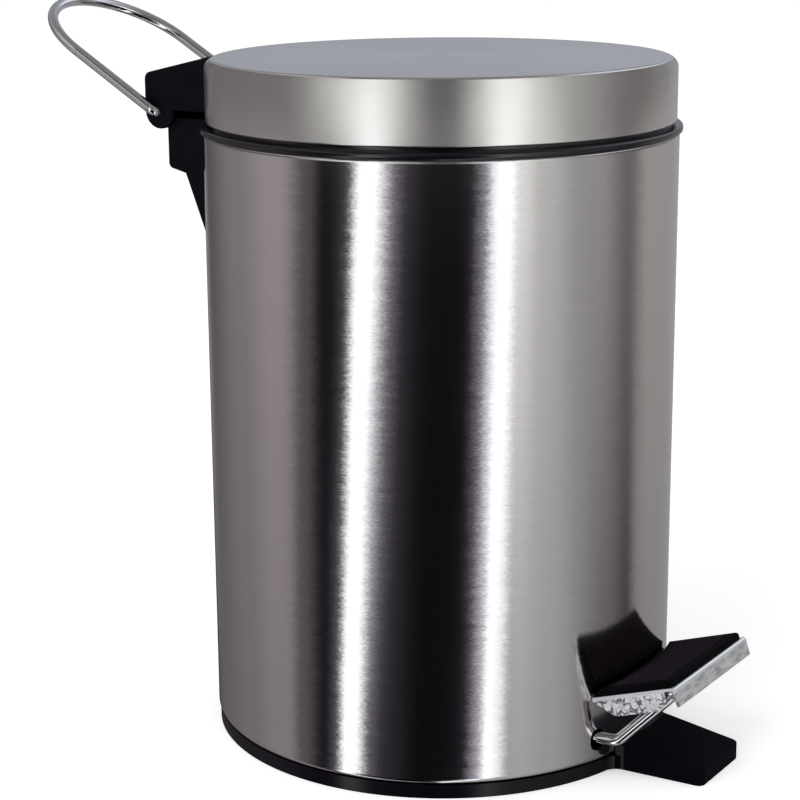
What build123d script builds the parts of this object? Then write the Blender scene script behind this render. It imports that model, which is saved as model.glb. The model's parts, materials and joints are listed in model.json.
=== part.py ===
from build123d import *
import os
from math import asin, atan2, cos, degrees, hypot, radians, sin, sqrt

# A round pedal bin of the five-litre class.
# Origin on the floor at the drum's axis, +Z up, pedal to the front (-Y), hinge behind (+Y), millimetres.

# Fits
seat_clearance = 0.3
running_clearance = 0.08
screw_fit = 0.05

# Steel drum with rolled-in edges
drum_radius = 102.5
drum_height = 262.0
drum_wall = 0.8
rolled_edge_width = 3.0
rolled_edge_radius = 2.8

# Moulded base with the front tongue
base_inset = 0.7
base_rim_height = 6.0
base_floor = 2.5
base_spigot_height = 3.5
base_spigot_wall = 2.5
tongue_length = 38.0
tongue_root_width = 42.0
tongue_tip_width = 37.0
tongue_root_height = 12.0
tongue_tip_height = 7.5
tongue_corner_radius = 3.0
tongue_root_radius = 6.0
tongue_edge_radius = 0.8
floor_rib_count = 8
floor_rib_height = 2.0
floor_rib_thickness = 1.6
floor_rib_inner_radius = 20.0

# Moulded ring on the drum's rim
ring_proud = 1.4
ring_cap = 1.5
ring_skirt = 1.5
ring_bead_radius = 1.0
ring_wall = 1.8
ring_spigot_depth = 11.0
ring_collar_height = 6.0
ledge_width = 4.8
ledge_thickness = 2.0
ledge_depth = 3.0
ring_notch_width = 18.0

# Steel lid
lid_inset = 1.2
lid_height = 26.6
lid_wall = 0.8
lid_hem_width = 0.6
lid_hem_radius = 0.7
lid_edge_radius = 4.5
lid_gap = 1.7

# Hinge axis, behind the drum and just under the lid's lower edge
hinge_setback = 24.8
hinge_drop = 0.9

# Upper bracket, on the lid
bracket_width = 71.0
cheek_thickness = 3.0
knuckle_radius = 8.0
bracket_front_drop = 1.2
bracket_back_drop = 10.8
bracket_corner_radius = 3.5
bracket_plate = 2.5
bracket_saddle = 3.0
bracket_seam_rise = 0.7
bracket_rib_thickness = 3.0
bracket_rib_rise = 2.4
edge_break = 0.6

# Lower bracket, on the drum
ear_thickness = 3.5
ear_radius = 4.9
lower_top_drop = 2.9
lower_back_offset = 2.2
lower_back_height = 25.4
lower_step_depth = 9.5
lower_step_rise = 2.2
lower_step_radius = 2.5
lower_tip_drop = 74.0
lower_plate = 2.5
hinge_wall_gap = 0.5

# Bracket screws
screw_radius = 1.6
screw_head_radius = 3.4
screw_head_height = 2.0
screw_reach = 8.0
boss_radius = 4.0
lid_screw_spread = 20.0
lid_screw_drop = 13.0
boss_sink = 1.0
boss_tip = 2.0
body_screw_upper_drop = 17.6
body_screw_lower_drop = 38.0

# Carry handle, a bent wire whose hooked ends are the hinge pins
handle_wire = 4.8
handle_gap = 0.8
handle_leg = 51.5
handle_hook_radius = 3.0
handle_hook_end = 22.0
handle_rise = 29.7

# Lid's working angle and the lift arm that turns it
lid_opening = 70.0
arm_setback = 33.3
arm_width = 8.0
arm_thickness = 2.5
arm_end_radius = 5.0
arm_rise = 7.6
arm_tail = 10.5
arm_bend_radius = 5.0
arm_rivet_radius = 2.0
arm_rivet_head_radius = 3.2
arm_rivet_head_height = 1.2
arm_rivet_pitch = 7.0
arm_rivet_edge = 4.0
arm_notch_clearance = 1.8
pin_radius = 2.0
pin_head_radius = 3.4
pin_head_height = 1.4
side_play = 0.35

# Lift strap between the lever's rear bar and the arm's pin
strap_thickness = 2.4
strap_width = 8.0
strap_eye_edge = 3.0
pin_slot_play = 0.95
bar_slot_play = 0.4
slot_end_play = 0.3

# Keeper that guides the strap on the drum's wall
guide_sheet = 1.2
guide_foot = 7.0
guide_height = 16.0
guide_bottom = 150.0
guide_play = 0.4

# Pedal lever, a bent wire frame, and its axle
lever_wire = 5.0
lever_bend_radius = 8.0
lever_corner_radius = 6.0
lever_front_height = 18.0
lever_rear_height = 9.5
lever_kick = 4.5
lever_rear_setback = 13.75
slot_side_play = 1.2
slot_upper_play = 1.3
slot_lower_play = 3.5
axle_setback = 12.5
axle_radius = 2.5
axle_overhang = 3.5
weld_depth = 0.2

# Axle saddles and their caps
saddle_width = 8.0
saddle_length = 14.0
saddle_spacing = 26.0
cap_height = 6.0
cap_edge_radius = 1.0
cap_screw_radius = 1.2
cap_screw_head_radius = 2.3
cap_screw_head_height = 1.6
cap_screw_pitch = 9.2
cap_screw_depth = 10.0

# Pressed pedal plate and its pad
pedal_width = 70.5
pedal_tilt = 18.5
pedal_front_reach = 32.0
pedal_front_height = 49.0
pedal_sheet = 1.2
pedal_lip_depth = 8.2
pedal_lip_radius = 1.0
pedal_flange_depth = 9.0
pedal_flange_front_depth = 6.3
pedal_flange_relief = 5.5
pedal_flange_slope_run = 5.5
pedal_flange_rear_run = 9.0
pedal_flange_radius = 5.0
pedal_wall_gap = 0.6
pad_margin = 1.2
pad_thickness = 2.8
pad_corner_radius = 2.5
pad_edge_radius = 1.0

# Inner bucket with a channel behind for the strap, and its bail
bucket_neck_play = 1.6
bucket_taper = 8.0
bucket_bottom = 68.0
bucket_wall = 1.6
bucket_floor = 2.0
bucket_rim_play = 0.9
bucket_rim = 1.8
channel_width = 22.0
channel_gap = 1.8
bail_wire = 3.0
bail_inset = 2.2
bail_seat = 0.4
bail_bend_radius = 2.0
bail_ear_thickness = 2.6
bail_ear_radius = 4.2
bail_end = 1.4

# Levels and radii that follow from these
drum_bottom = base_rim_height
drum_top = drum_bottom + drum_height
drum_inner = drum_radius - drum_wall
rolled_edge_inner = drum_radius - rolled_edge_width
spigot_radius = rolled_edge_inner - seat_clearance
base_radius = drum_radius - base_inset
base_hollow = spigot_radius - base_spigot_wall
ring_top = drum_top + ring_cap
ring_radius = drum_radius + ring_proud
ring_inner = spigot_radius - ring_wall
ledge_top = drum_top - ledge_depth
lid_radius = drum_radius - lid_inset
lid_bottom = ring_top + lid_gap
lid_top = lid_bottom + lid_height
hinge_y = drum_radius + hinge_setback
hinge_z = lid_bottom - hinge_drop

# Lift mechanism: the arm's pin swings evenly about the level of the hinge
arm_angle = radians(lid_opening / 2)
pin_reach = arm_setback / cos(arm_angle)
lift_travel = 2 * pin_reach * sin(arm_angle)
pin_y = hinge_y - arm_setback
pin_z = hinge_z - lift_travel / 2
pin_sweep = pin_reach - arm_setback

# Lever: axle tangent to the legs from above, sunk by the depth of the weld
axle_y = axle_setback - drum_radius
leg_front_y = -drum_radius - lever_kick
lever_rear_y = drum_radius - lever_rear_setback
leg_slope = (lever_rear_height - lever_front_height) / (lever_rear_y - leg_front_y)
leg_at_axle = lever_front_height + leg_slope * (axle_y - leg_front_y)
axle_z = leg_at_axle + lever_wire / 2 + axle_radius - weld_depth
rear_reach = hypot(lever_rear_y - axle_y, lever_rear_height - axle_z)
rear_rest_angle = atan2(lever_rear_height - axle_z, lever_rear_y - axle_y)
rear_lifted_angle = asin((lever_rear_height + lift_travel - axle_z) / rear_reach)
lever_swing = rear_lifted_angle - rear_rest_angle
bar_front_y = axle_y + rear_reach * cos(rear_lifted_angle)
bar_back_y = axle_y + rear_reach

# Pedal plane, tilted up to the front, and the wire that its front lip wraps
pedal_front_y = -drum_radius - pedal_front_reach
pedal_normal = (0, sin(radians(pedal_tilt)), cos(radians(pedal_tilt)))
pedal_plane = Plane(
    origin=(0, pedal_front_y, pedal_front_height), x_dir=(1, 0, 0), z_dir=pedal_normal
)
wire_inset = pedal_sheet + lever_wire / 2 + running_clearance
wire_front = pedal_plane.from_local_coords((0, wire_inset, -wire_inset))
leg_x = pedal_width / 2 - wire_inset
leg_wall_y = -sqrt(drum_radius**2 - leg_x**2)
leg_at_wall = lever_front_height + leg_slope * (leg_wall_y - leg_front_y)


def radial_plane(turn, radius, level):
    """Plane square to a radius of the drum behind, turned sideways about the drum's axis."""
    return Plane(
        origin=(radius * sin(turn), radius * cos(turn), level),
        x_dir=(cos(turn), -sin(turn), 0),
        z_dir=(sin(turn), cos(turn), 0),
    )


def square_to(path):
    """Plane square to the start of a path."""
    return Plane(origin=path @ 0, z_dir=path % 0)


os.makedirs("parts", exist_ok=True)

# Drum: thin wall with both edges rolled in
bracket_half = bracket_width / 2
lower_half = bracket_half - cheek_thickness - seat_clearance
body_screw_turn = asin((lower_half - ear_thickness - boss_radius + boss_sink) / drum_radius)
body_screws = [
    (side * body_screw_turn, hinge_z - drop)
    for drop in (body_screw_upper_drop, body_screw_lower_drop)
    for side in (-1, 1)
]
slot_width = lever_wire + 2 * slot_side_play
slot_height = lever_wire + slot_upper_play + slot_lower_play
slot_middle = leg_at_wall + (slot_upper_play - slot_lower_play) / 2

with BuildPart() as body_shell:
    with BuildSketch(Plane.XZ) as drum_section:
        with BuildLine():
            Polyline(
                (rolled_edge_inner, drum_bottom),
                (drum_radius, drum_bottom),
                (drum_radius, drum_top),
                (rolled_edge_inner, drum_top),
                (rolled_edge_inner, drum_top - drum_wall),
                (drum_inner, drum_top - drum_wall),
                (drum_inner, drum_bottom + drum_wall),
                (rolled_edge_inner, drum_bottom + drum_wall),
                close=True,
            )
        make_face()
        inner_corners = drum_section.vertices().group_by(Axis.X)[1]
        fillet(inner_corners, rolled_edge_radius - drum_wall)
        outer_corners = drum_section.vertices().group_by(Axis.X)[-1]
        fillet(outer_corners, rolled_edge_radius)
    revolve(axis=Axis.Z)
    with BuildSketch(Plane.XZ.offset(drum_radius / 2)):
        with Locations((-leg_x, slot_middle), (leg_x, slot_middle)):
            SlotOverall(slot_height, slot_width, rotation=90)
    extrude(amount=drum_radius, mode=Mode.SUBTRACT)
    for turn, level in body_screws:
        with BuildSketch(radial_plane(turn, drum_radius, level)):
            Circle(screw_radius + screw_fit)
        extrude(amount=2 * drum_wall, both=True, mode=Mode.SUBTRACT)
body_shell.part.label = "body_shell"
export_step(body_shell.part, "parts/body_shell.step")

# Front tongue: tapered in plan, its top sloping down to the tip
tongue_tip_y = -drum_radius - tongue_length
tongue_root_y = -base_hollow

with BuildPart() as tongue:
    with BuildSketch() as tongue_plan:
        with BuildLine():
            Polyline(
                (-tongue_root_width / 2, tongue_root_y),
                (-tongue_tip_width / 2, tongue_tip_y),
                (tongue_tip_width / 2, tongue_tip_y),
                (tongue_root_width / 2, tongue_root_y),
                close=True,
            )
        make_face()
        fillet(tongue_plan.vertices().group_by(Axis.Y)[0], tongue_corner_radius)
    extrude(amount=tongue_root_height)
    with BuildSketch(Plane.YZ):
        with BuildLine():
            Polyline(
                (tongue_root_y, 0),
                (tongue_tip_y, 0),
                (tongue_tip_y, tongue_tip_height),
                (-drum_radius, tongue_root_height),
                (tongue_root_y, tongue_root_height),
                close=True,
            )
        make_face()
    extrude(amount=tongue_root_width, both=True, mode=Mode.INTERSECT)
    slope_edges = tongue.faces().sort_by(Axis.Z)[-2].edges()
    fillet(slope_edges.sort_by(Axis.Z)[:-1], tongue_edge_radius)
    with BuildSketch(Plane.XY.offset(drum_bottom)):
        Circle(drum_radius + seat_clearance)
    extrude(amount=drum_height, mode=Mode.SUBTRACT)

# Base: rim, floor with ribs, spigot inside the drum and saddles for the lever's axle
saddle_places = [(-saddle_spacing / 2, axle_y), (saddle_spacing / 2, axle_y)]
cap_screw_places = [
    (x, axle_y + end * cap_screw_pitch / 2) for x, _ in saddle_places for end in (-1, 1)
]
floor_rib_length = base_hollow - floor_rib_inner_radius

with BuildPart() as base:
    with BuildSketch() as footprint:
        Circle(base_radius)
        with BuildLine():
            Polyline(
                (-tongue_root_width / 2, tongue_root_y),
                (-tongue_tip_width / 2, tongue_tip_y),
                (tongue_tip_width / 2, tongue_tip_y),
                (tongue_root_width / 2, tongue_root_y),
                close=True,
            )
        make_face()
        fillet(footprint.vertices().group_by(Axis.Y)[1], tongue_root_radius)
        fillet(footprint.vertices().group_by(Axis.Y)[0], tongue_corner_radius)
    extrude(amount=drum_bottom)
    add(tongue.part)
    with BuildSketch(Plane.XY.offset(base_floor)):
        Circle(base_hollow)
    extrude(amount=drum_bottom, mode=Mode.SUBTRACT)
    with BuildSketch(Plane.XY.offset(drum_bottom)):
        Circle(spigot_radius)
        Circle(base_hollow, mode=Mode.SUBTRACT)
    extrude(amount=base_spigot_height)
    with BuildSketch(Plane.XY.offset(base_floor)):
        with PolarLocations(
            floor_rib_inner_radius + floor_rib_length / 2,
            floor_rib_count,
            start_angle=180 / floor_rib_count,
        ):
            Rectangle(floor_rib_length, floor_rib_thickness)
    extrude(amount=floor_rib_height)
    with BuildSketch(Plane.XY.offset(base_floor)):
        with Locations(*saddle_places):
            Rectangle(saddle_width, saddle_length)
    extrude(amount=axle_z - base_floor)
    with BuildSketch(Plane.YZ):
        with Locations((axle_y, axle_z)):
            Circle(axle_radius + running_clearance)
    extrude(amount=saddle_spacing, both=True, mode=Mode.SUBTRACT)
    with BuildSketch(Plane.XY.offset(axle_z)):
        with Locations(*cap_screw_places):
            Circle(cap_screw_radius + screw_fit)
    extrude(amount=-cap_screw_depth, mode=Mode.SUBTRACT)
base.part.label = "base"
export_step(base.part, "parts/base.step")

# Caps that close the saddles over the axle, and their screws
with BuildPart() as axle_caps:
    with BuildSketch(Plane.XY.offset(axle_z)):
        with Locations(*saddle_places):
            Rectangle(saddle_width, saddle_length)
    extrude(amount=cap_height)
    fillet(axle_caps.faces().filter_by(Axis.Z).group_by(Axis.Z)[-1].edges(), cap_edge_radius)
    with BuildSketch(Plane.YZ):
        with Locations((axle_y, axle_z)):
            Circle(axle_radius + running_clearance)
    extrude(amount=saddle_spacing, both=True, mode=Mode.SUBTRACT)
    with BuildSketch(Plane.XY.offset(axle_z)):
        with Locations(*cap_screw_places):
            Circle(cap_screw_radius + screw_fit)
    extrude(amount=cap_height, mode=Mode.SUBTRACT)
axle_caps.part.label = "axle_caps"
export_step(axle_caps.part, "parts/axle_caps.step")

with BuildPart() as axle_cap_screws:
    with BuildSketch(Plane.XY.offset(axle_z + cap_height)):
        with Locations(*cap_screw_places):
            Circle(cap_screw_radius)
    extrude(amount=-cap_height - cap_screw_depth)
    with BuildSketch(Plane.XY.offset(axle_z + cap_height)):
        with Locations(*cap_screw_places):
            Circle(cap_screw_head_radius)
    extrude(amount=cap_screw_head_height)
axle_cap_screws.part.label = "axle_cap_screws"
export_step(axle_cap_screws.part, "parts/axle_cap_screws.step")

# Ring on the rim: bead outside, collar inside the lid, ledge for the bucket, notch behind for the arm
with BuildPart() as top_ring:
    with BuildSketch(Plane.XZ) as ring_section:
        with BuildLine():
            Polyline(
                (ring_inner, drum_top - ring_spigot_depth),
                (spigot_radius, drum_top - ring_spigot_depth),
                (spigot_radius, drum_top),
                (drum_radius + seat_clearance, drum_top),
                (drum_radius + seat_clearance, drum_top - ring_skirt),
                (ring_radius, drum_top - ring_skirt),
                (ring_radius, ring_top),
                (spigot_radius, ring_top),
                (spigot_radius, ring_top + ring_collar_height),
                (ring_inner, ring_top + ring_collar_height),
                (ring_inner, ledge_top),
                (ring_inner - ledge_width, ledge_top),
                (ring_inner - ledge_width, ledge_top - ledge_thickness),
                (ring_inner, ledge_top - ledge_thickness),
                close=True,
            )
        make_face()
        fillet(ring_section.vertices().group_by(Axis.X)[-1], ring_bead_radius)
    revolve(axis=Axis.Z)
    with BuildSketch(Plane.XY.offset(drum_top - ring_spigot_depth)):
        with Locations((0, spigot_radius + seat_clearance)):
            Rectangle(
                ring_notch_width,
                3 * ledge_width,
                align=(Align.CENTER, Align.MAX),
            )
    extrude(amount=ring_spigot_depth + ring_cap + ring_collar_height, mode=Mode.SUBTRACT)
top_ring.part.label = "top_ring"
export_step(top_ring.part, "parts/top_ring.step")

# Lid: pressed steel cap with a hemmed edge, notched behind for the arm
lid_screw_turn = asin(lid_screw_spread / lid_radius)
lid_screws = [(side * lid_screw_turn, lid_top - lid_screw_drop) for side in (-1, 1)]
arm_low = hinge_z + arm_rise - arm_width / 2
arm_high = hinge_z + arm_rise + arm_width / 2
arm_inner_x = bracket_rib_thickness / 2
arm_outer_x = arm_inner_x + arm_thickness
arm_notch_width = arm_thickness + 2 * arm_notch_clearance
arm_notch_top = arm_high + arm_notch_clearance

with BuildPart() as lid_shell:
    with BuildSketch(Plane.XZ) as lid_section:
        with BuildLine():
            Polyline(
                (0, lid_top),
                (lid_radius, lid_top),
                (lid_radius, lid_bottom),
                (lid_radius - lid_wall - lid_hem_width, lid_bottom),
                (lid_radius - lid_wall - lid_hem_width, lid_bottom + lid_wall),
                (lid_radius - lid_wall, lid_bottom + lid_wall),
                (lid_radius - lid_wall, lid_top - lid_wall),
                (0, lid_top - lid_wall),
                close=True,
            )
        make_face()
        inside_corner = (lid_radius - lid_wall, lid_top - lid_wall)
        inside_edge = lid_section.vertices().sort_by_distance(inside_corner)[0]
        fillet(inside_edge, lid_edge_radius - lid_wall)
        outside_edge = lid_section.vertices().sort_by_distance((lid_radius, lid_top))[0]
        fillet(outside_edge, lid_edge_radius)
        hem_edge = lid_section.vertices().sort_by_distance((lid_radius, lid_bottom))[0]
        fillet(hem_edge, lid_hem_radius)
    revolve(axis=Axis.Z)
    with BuildSketch(Plane.XY.offset(lid_bottom)):
        with Locations((arm_inner_x + arm_thickness / 2, lid_radius)):
            Rectangle(arm_notch_width, 4 * (lid_wall + lid_hem_width))
    extrude(amount=arm_notch_top - lid_bottom, mode=Mode.SUBTRACT)
    for turn, level in lid_screws:
        with BuildSketch(radial_plane(turn, lid_radius, level)):
            Circle(screw_radius + screw_fit)
        extrude(amount=2 * lid_wall, both=True, mode=Mode.SUBTRACT)
lid_shell.part.label = "lid_shell"
export_step(lid_shell.part, "parts/lid_shell.step")

# Upper bracket: hollow moulding with two cheeks whose knuckles stand outside the lower ears
bracket_front_y = sqrt(lid_radius**2 - bracket_half**2) - seat_clearance
bracket_back_y = hinge_y + knuckle_radius
bracket_seam = hinge_z + bracket_seam_rise
bracket_front_top = lid_top - bracket_front_drop
bracket_back_top = lid_top - bracket_back_drop
saddle_radius = lid_radius + screw_fit

with BuildPart() as lid_bracket_hollow:
    with BuildSketch(Plane.YZ):
        with BuildLine():
            Polyline(
                (0, hinge_z - 2 * knuckle_radius),
                (bracket_back_y + knuckle_radius, hinge_z - 2 * knuckle_radius),
                (bracket_back_y + knuckle_radius, hinge_z),
                (bracket_back_y - bracket_plate, hinge_z),
                (bracket_back_y - bracket_plate, bracket_back_top - bracket_plate),
                (bracket_front_y, bracket_front_top - bracket_plate),
                (0, bracket_front_top - bracket_plate),
                close=True,
            )
        make_face()
    extrude(amount=bracket_half - cheek_thickness, both=True)
    with BuildSketch(Plane.XY.offset(hinge_z)):
        Circle(saddle_radius + bracket_saddle)
    extrude(amount=2 * lid_height, mode=Mode.SUBTRACT)

with BuildPart() as lid_bracket:
    with BuildSketch(Plane.YZ) as bracket_side:
        with BuildLine():
            Polyline(
                (bracket_front_y, bracket_seam),
                (hinge_y, bracket_seam),
                (hinge_y, hinge_z),
                (bracket_back_y, hinge_z),
                (bracket_back_y, bracket_back_top),
                (bracket_front_y, bracket_front_top),
                close=True,
            )
        make_face()
        top_corner = bracket_side.vertices().sort_by_distance((bracket_back_y, bracket_back_top))[0]
        fillet(top_corner, bracket_corner_radius)
        with Locations((hinge_y, hinge_z)):
            Circle(knuckle_radius)
    extrude(amount=bracket_half, both=True)
    fillet(lid_bracket.faces().filter_by(Axis.X).edges(), edge_break)
    add(lid_bracket_hollow.part, mode=Mode.SUBTRACT)
    with BuildSketch(Plane.YZ):
        with BuildLine():
            Polyline(
                (bracket_front_y, hinge_z + bracket_rib_rise),
                (bracket_back_y - bracket_plate, hinge_z + bracket_rib_rise),
                (bracket_back_y - bracket_plate, bracket_back_top - bracket_plate / 2),
                (bracket_front_y, bracket_front_top - bracket_plate / 2),
                close=True,
            )
        make_face()
    extrude(amount=bracket_rib_thickness / 2, both=True)
    for turn, level in lid_screws:
        with BuildSketch(radial_plane(turn, saddle_radius, level)):
            Circle(boss_radius)
        extrude(amount=screw_reach + boss_tip)
        with BuildSketch(radial_plane(turn, saddle_radius, level)):
            Circle(screw_radius + screw_fit)
        extrude(amount=screw_reach, both=True, mode=Mode.SUBTRACT)
    with BuildSketch(Plane.XY.offset(hinge_z - knuckle_radius)):
        Circle(saddle_radius)
    extrude(amount=2 * lid_height, mode=Mode.SUBTRACT)
    with BuildSketch(Plane.XY.offset(bracket_seam)):
        with Locations((arm_inner_x, saddle_radius + bracket_saddle / 2)):
            Rectangle(
                arm_thickness + arm_notch_clearance,
                2 * bracket_saddle,
                align=(Align.MIN, Align.CENTER),
            )
    extrude(amount=arm_notch_top - bracket_seam, mode=Mode.SUBTRACT)
    arm_tail_y = saddle_radius + bracket_saddle + arm_tail + arm_rivet_edge
    rivet_places = [
        (arm_tail_y - arm_rivet_edge - step * arm_rivet_pitch, hinge_z + arm_rise) for step in (0, 1)
    ]
    with BuildSketch(Plane.YZ):
        with Locations(*rivet_places):
            Circle(arm_rivet_radius + screw_fit)
    extrude(amount=bracket_rib_thickness, both=True, mode=Mode.SUBTRACT)
    with BuildSketch(Plane.YZ):
        with Locations((hinge_y, hinge_z)):
            Circle(handle_wire / 2 + running_clearance)
    extrude(amount=bracket_width, both=True, mode=Mode.SUBTRACT)
lid_bracket.part.label = "lid_bracket"
export_step(lid_bracket.part, "parts/lid_bracket.step")

with BuildPart() as lid_bracket_screws:
    for turn, level in lid_screws:
        seat = radial_plane(turn, lid_radius - lid_wall - seat_clearance / 2, level)
        with BuildSketch(seat):
            Circle(screw_radius)
        extrude(amount=screw_reach)
        with BuildSketch(seat):
            Circle(screw_head_radius)
        extrude(amount=-screw_head_height)
lid_bracket_screws.part.label = "lid_bracket_screws"
export_step(lid_bracket_screws.part, "parts/lid_bracket_screws.step")

# Lift arm: flat gooseneck from the bracket's rib over the rim and down into the drum
with BuildPart() as lift_arm:
    with BuildSketch(Plane.YZ.offset(arm_inner_x)) as arm_outline:
        with BuildLine():
            Polyline(
                (arm_tail_y, arm_low),
                (arm_tail_y, arm_high),
                (pin_y - arm_width / 2, arm_high),
                (pin_y - arm_width / 2, pin_z),
                (pin_y + arm_width / 2, pin_z),
                (pin_y + arm_width / 2, arm_low),
                close=True,
            )
        make_face()
        crown = arm_outline.vertices().sort_by_distance((pin_y - arm_width / 2, arm_high))[0]
        fillet(crown, arm_bend_radius)
        crook = arm_outline.vertices().sort_by_distance((pin_y + arm_width / 2, arm_low))[0]
        fillet(crook, arm_bend_radius / 2)
        with Locations((pin_y, pin_z)):
            Circle(arm_end_radius)
            Circle(pin_radius, mode=Mode.SUBTRACT)
        with Locations(*rivet_places):
            Circle(arm_rivet_radius + screw_fit, mode=Mode.SUBTRACT)
    extrude(amount=arm_thickness)
lift_arm.part.label = "lift_arm"
export_step(lift_arm.part, "parts/lift_arm.step")

with BuildPart() as arm_rivets:
    with BuildSketch(Plane.YZ.offset(-arm_inner_x)):
        with Locations(*rivet_places):
            Circle(arm_rivet_radius)
    extrude(amount=bracket_rib_thickness + arm_thickness)
    with BuildSketch(Plane.YZ.offset(-arm_inner_x)):
        with Locations(*rivet_places):
            Circle(arm_rivet_head_radius)
    extrude(amount=-arm_rivet_head_height)
    with BuildSketch(Plane.YZ.offset(arm_outer_x)):
        with Locations(*rivet_places):
            Circle(arm_rivet_head_radius)
    extrude(amount=arm_rivet_head_height)
arm_rivets.part.label = "arm_rivets"
export_step(arm_rivets.part, "parts/arm_rivets.step")

# Pin at the arm's end, running in the strap's upper slot
strap_outer_x = arm_inner_x - side_play
strap_inner_x = strap_outer_x - strap_thickness

with BuildPart() as arm_pin:
    with BuildSketch(Plane.YZ.offset(arm_outer_x)):
        with Locations((pin_y, pin_z)):
            Circle(pin_radius)
    extrude(amount=strap_inner_x - side_play - arm_outer_x)
    with BuildSketch(Plane.YZ.offset(arm_outer_x)):
        with Locations((pin_y, pin_z)):
            Circle(pin_head_radius)
    extrude(amount=pin_head_height)
    with BuildSketch(Plane.YZ.offset(strap_inner_x - side_play)):
        with Locations((pin_y, pin_z)):
            Circle(pin_head_radius)
    extrude(amount=-pin_head_height)
arm_pin.part.label = "arm_pin"
export_step(arm_pin.part, "parts/arm_pin.step")

# Lift strap: flat bar with a level slot for the arm's pin above and for the lever's bar below
pin_slot_length = pin_sweep + 2 * pin_radius + 2 * slot_end_play
pin_slot_height = 2 * pin_radius + 2 * pin_slot_play
bar_slot_length = bar_back_y - bar_front_y + lever_wire + 2 * slot_end_play
bar_slot_height = lever_wire + 2 * bar_slot_play
pin_slot_y = pin_y - pin_sweep / 2
bar_slot_y = (bar_front_y + bar_back_y) / 2
strap_y = (pin_slot_y + bar_slot_y) / 2

with BuildPart() as lift_strap:
    with BuildSketch(Plane.YZ.offset(strap_inner_x)):
        with Locations((strap_y, lever_rear_height)):
            Rectangle(strap_width, pin_z - lever_rear_height, align=(Align.CENTER, Align.MIN))
        with Locations((pin_slot_y, pin_z)):
            SlotOverall(pin_slot_length + 2 * strap_eye_edge, pin_slot_height + 2 * strap_eye_edge)
            SlotOverall(pin_slot_length, pin_slot_height, mode=Mode.SUBTRACT)
        with Locations((bar_slot_y, lever_rear_height)):
            SlotOverall(bar_slot_length + 2 * strap_eye_edge, bar_slot_height + 2 * strap_eye_edge)
            SlotOverall(bar_slot_length, bar_slot_height, mode=Mode.SUBTRACT)
    extrude(amount=strap_thickness)
lift_strap.part.label = "lift_strap"
export_step(lift_strap.part, "parts/lift_strap.step")

# Keeper: hat-shaped strip welded on the wall, the strap runs through it
guide_low_x = strap_inner_x - guide_play
guide_high_x = strap_outer_x + guide_play
guide_front_y = strap_y - strap_width / 2 - guide_play
guide_wall_radius = drum_inner - screw_fit

with BuildPart() as strap_guide:
    with BuildSketch(Plane.XY.offset(guide_bottom)):
        with Locations(((guide_low_x + guide_high_x) / 2, guide_front_y - guide_sheet)):
            Rectangle(
                guide_high_x - guide_low_x + 2 * guide_sheet,
                drum_radius,
                align=(Align.CENTER, Align.MIN),
            )
        with Locations(((guide_low_x + guide_high_x) / 2, guide_wall_radius)):
            Rectangle(
                guide_high_x - guide_low_x + 2 * guide_foot,
                4 * guide_sheet,
                align=(Align.CENTER, Align.CENTER),
            )
        with Locations(((guide_low_x + guide_high_x) / 2, guide_front_y)):
            Rectangle(
                guide_high_x - guide_low_x,
                drum_radius,
                align=(Align.CENTER, Align.MIN),
                mode=Mode.SUBTRACT,
            )
        Circle(guide_wall_radius, mode=Mode.INTERSECT)
    extrude(amount=guide_height)
strap_guide.part.label = "strap_guide"
export_step(strap_guide.part, "parts/strap_guide.step")

# Lower bracket: hollow gusset on the drum, with ears between the upper cheeks
lower_top = hinge_z - lower_top_drop
lower_back_y = hinge_y - lower_back_offset
lower_back_z = hinge_z - lower_back_height
lower_step_y = lower_back_y - lower_step_depth
lower_step_z = lower_back_z - lower_step_rise
lower_front_y = sqrt(drum_radius**2 - lower_half**2) - seat_clearance
lower_tip_z = hinge_z - lower_tip_drop
lower_taper = (lower_step_y - lower_front_y) / (lower_step_z - lower_tip_z)
lower_inner_shift = lower_plate * hypot(1, lower_taper)
drum_seat_radius = drum_radius + screw_fit

with BuildPart() as body_bracket_hollow:
    with BuildSketch(Plane.YZ):
        with BuildLine():
            Polyline(
                (0, lower_tip_z),
                (lower_front_y - lower_inner_shift, lower_tip_z),
                (lower_step_y - lower_inner_shift, lower_step_z),
                (lower_step_y - lower_inner_shift, lower_step_z + lower_plate),
                (lower_back_y - lower_plate, lower_back_z + lower_plate),
                (lower_back_y - lower_plate, lower_top),
                (lower_back_y, lower_top),
                (lower_back_y, hinge_z - 2 * ear_radius),
                (hinge_y + 2 * ear_radius, hinge_z - 2 * ear_radius),
                (hinge_y + 2 * ear_radius, hinge_z + 2 * ear_radius),
                (0, hinge_z + 2 * ear_radius),
                close=True,
            )
        make_face()
    extrude(amount=lower_half - ear_thickness, both=True)

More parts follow.
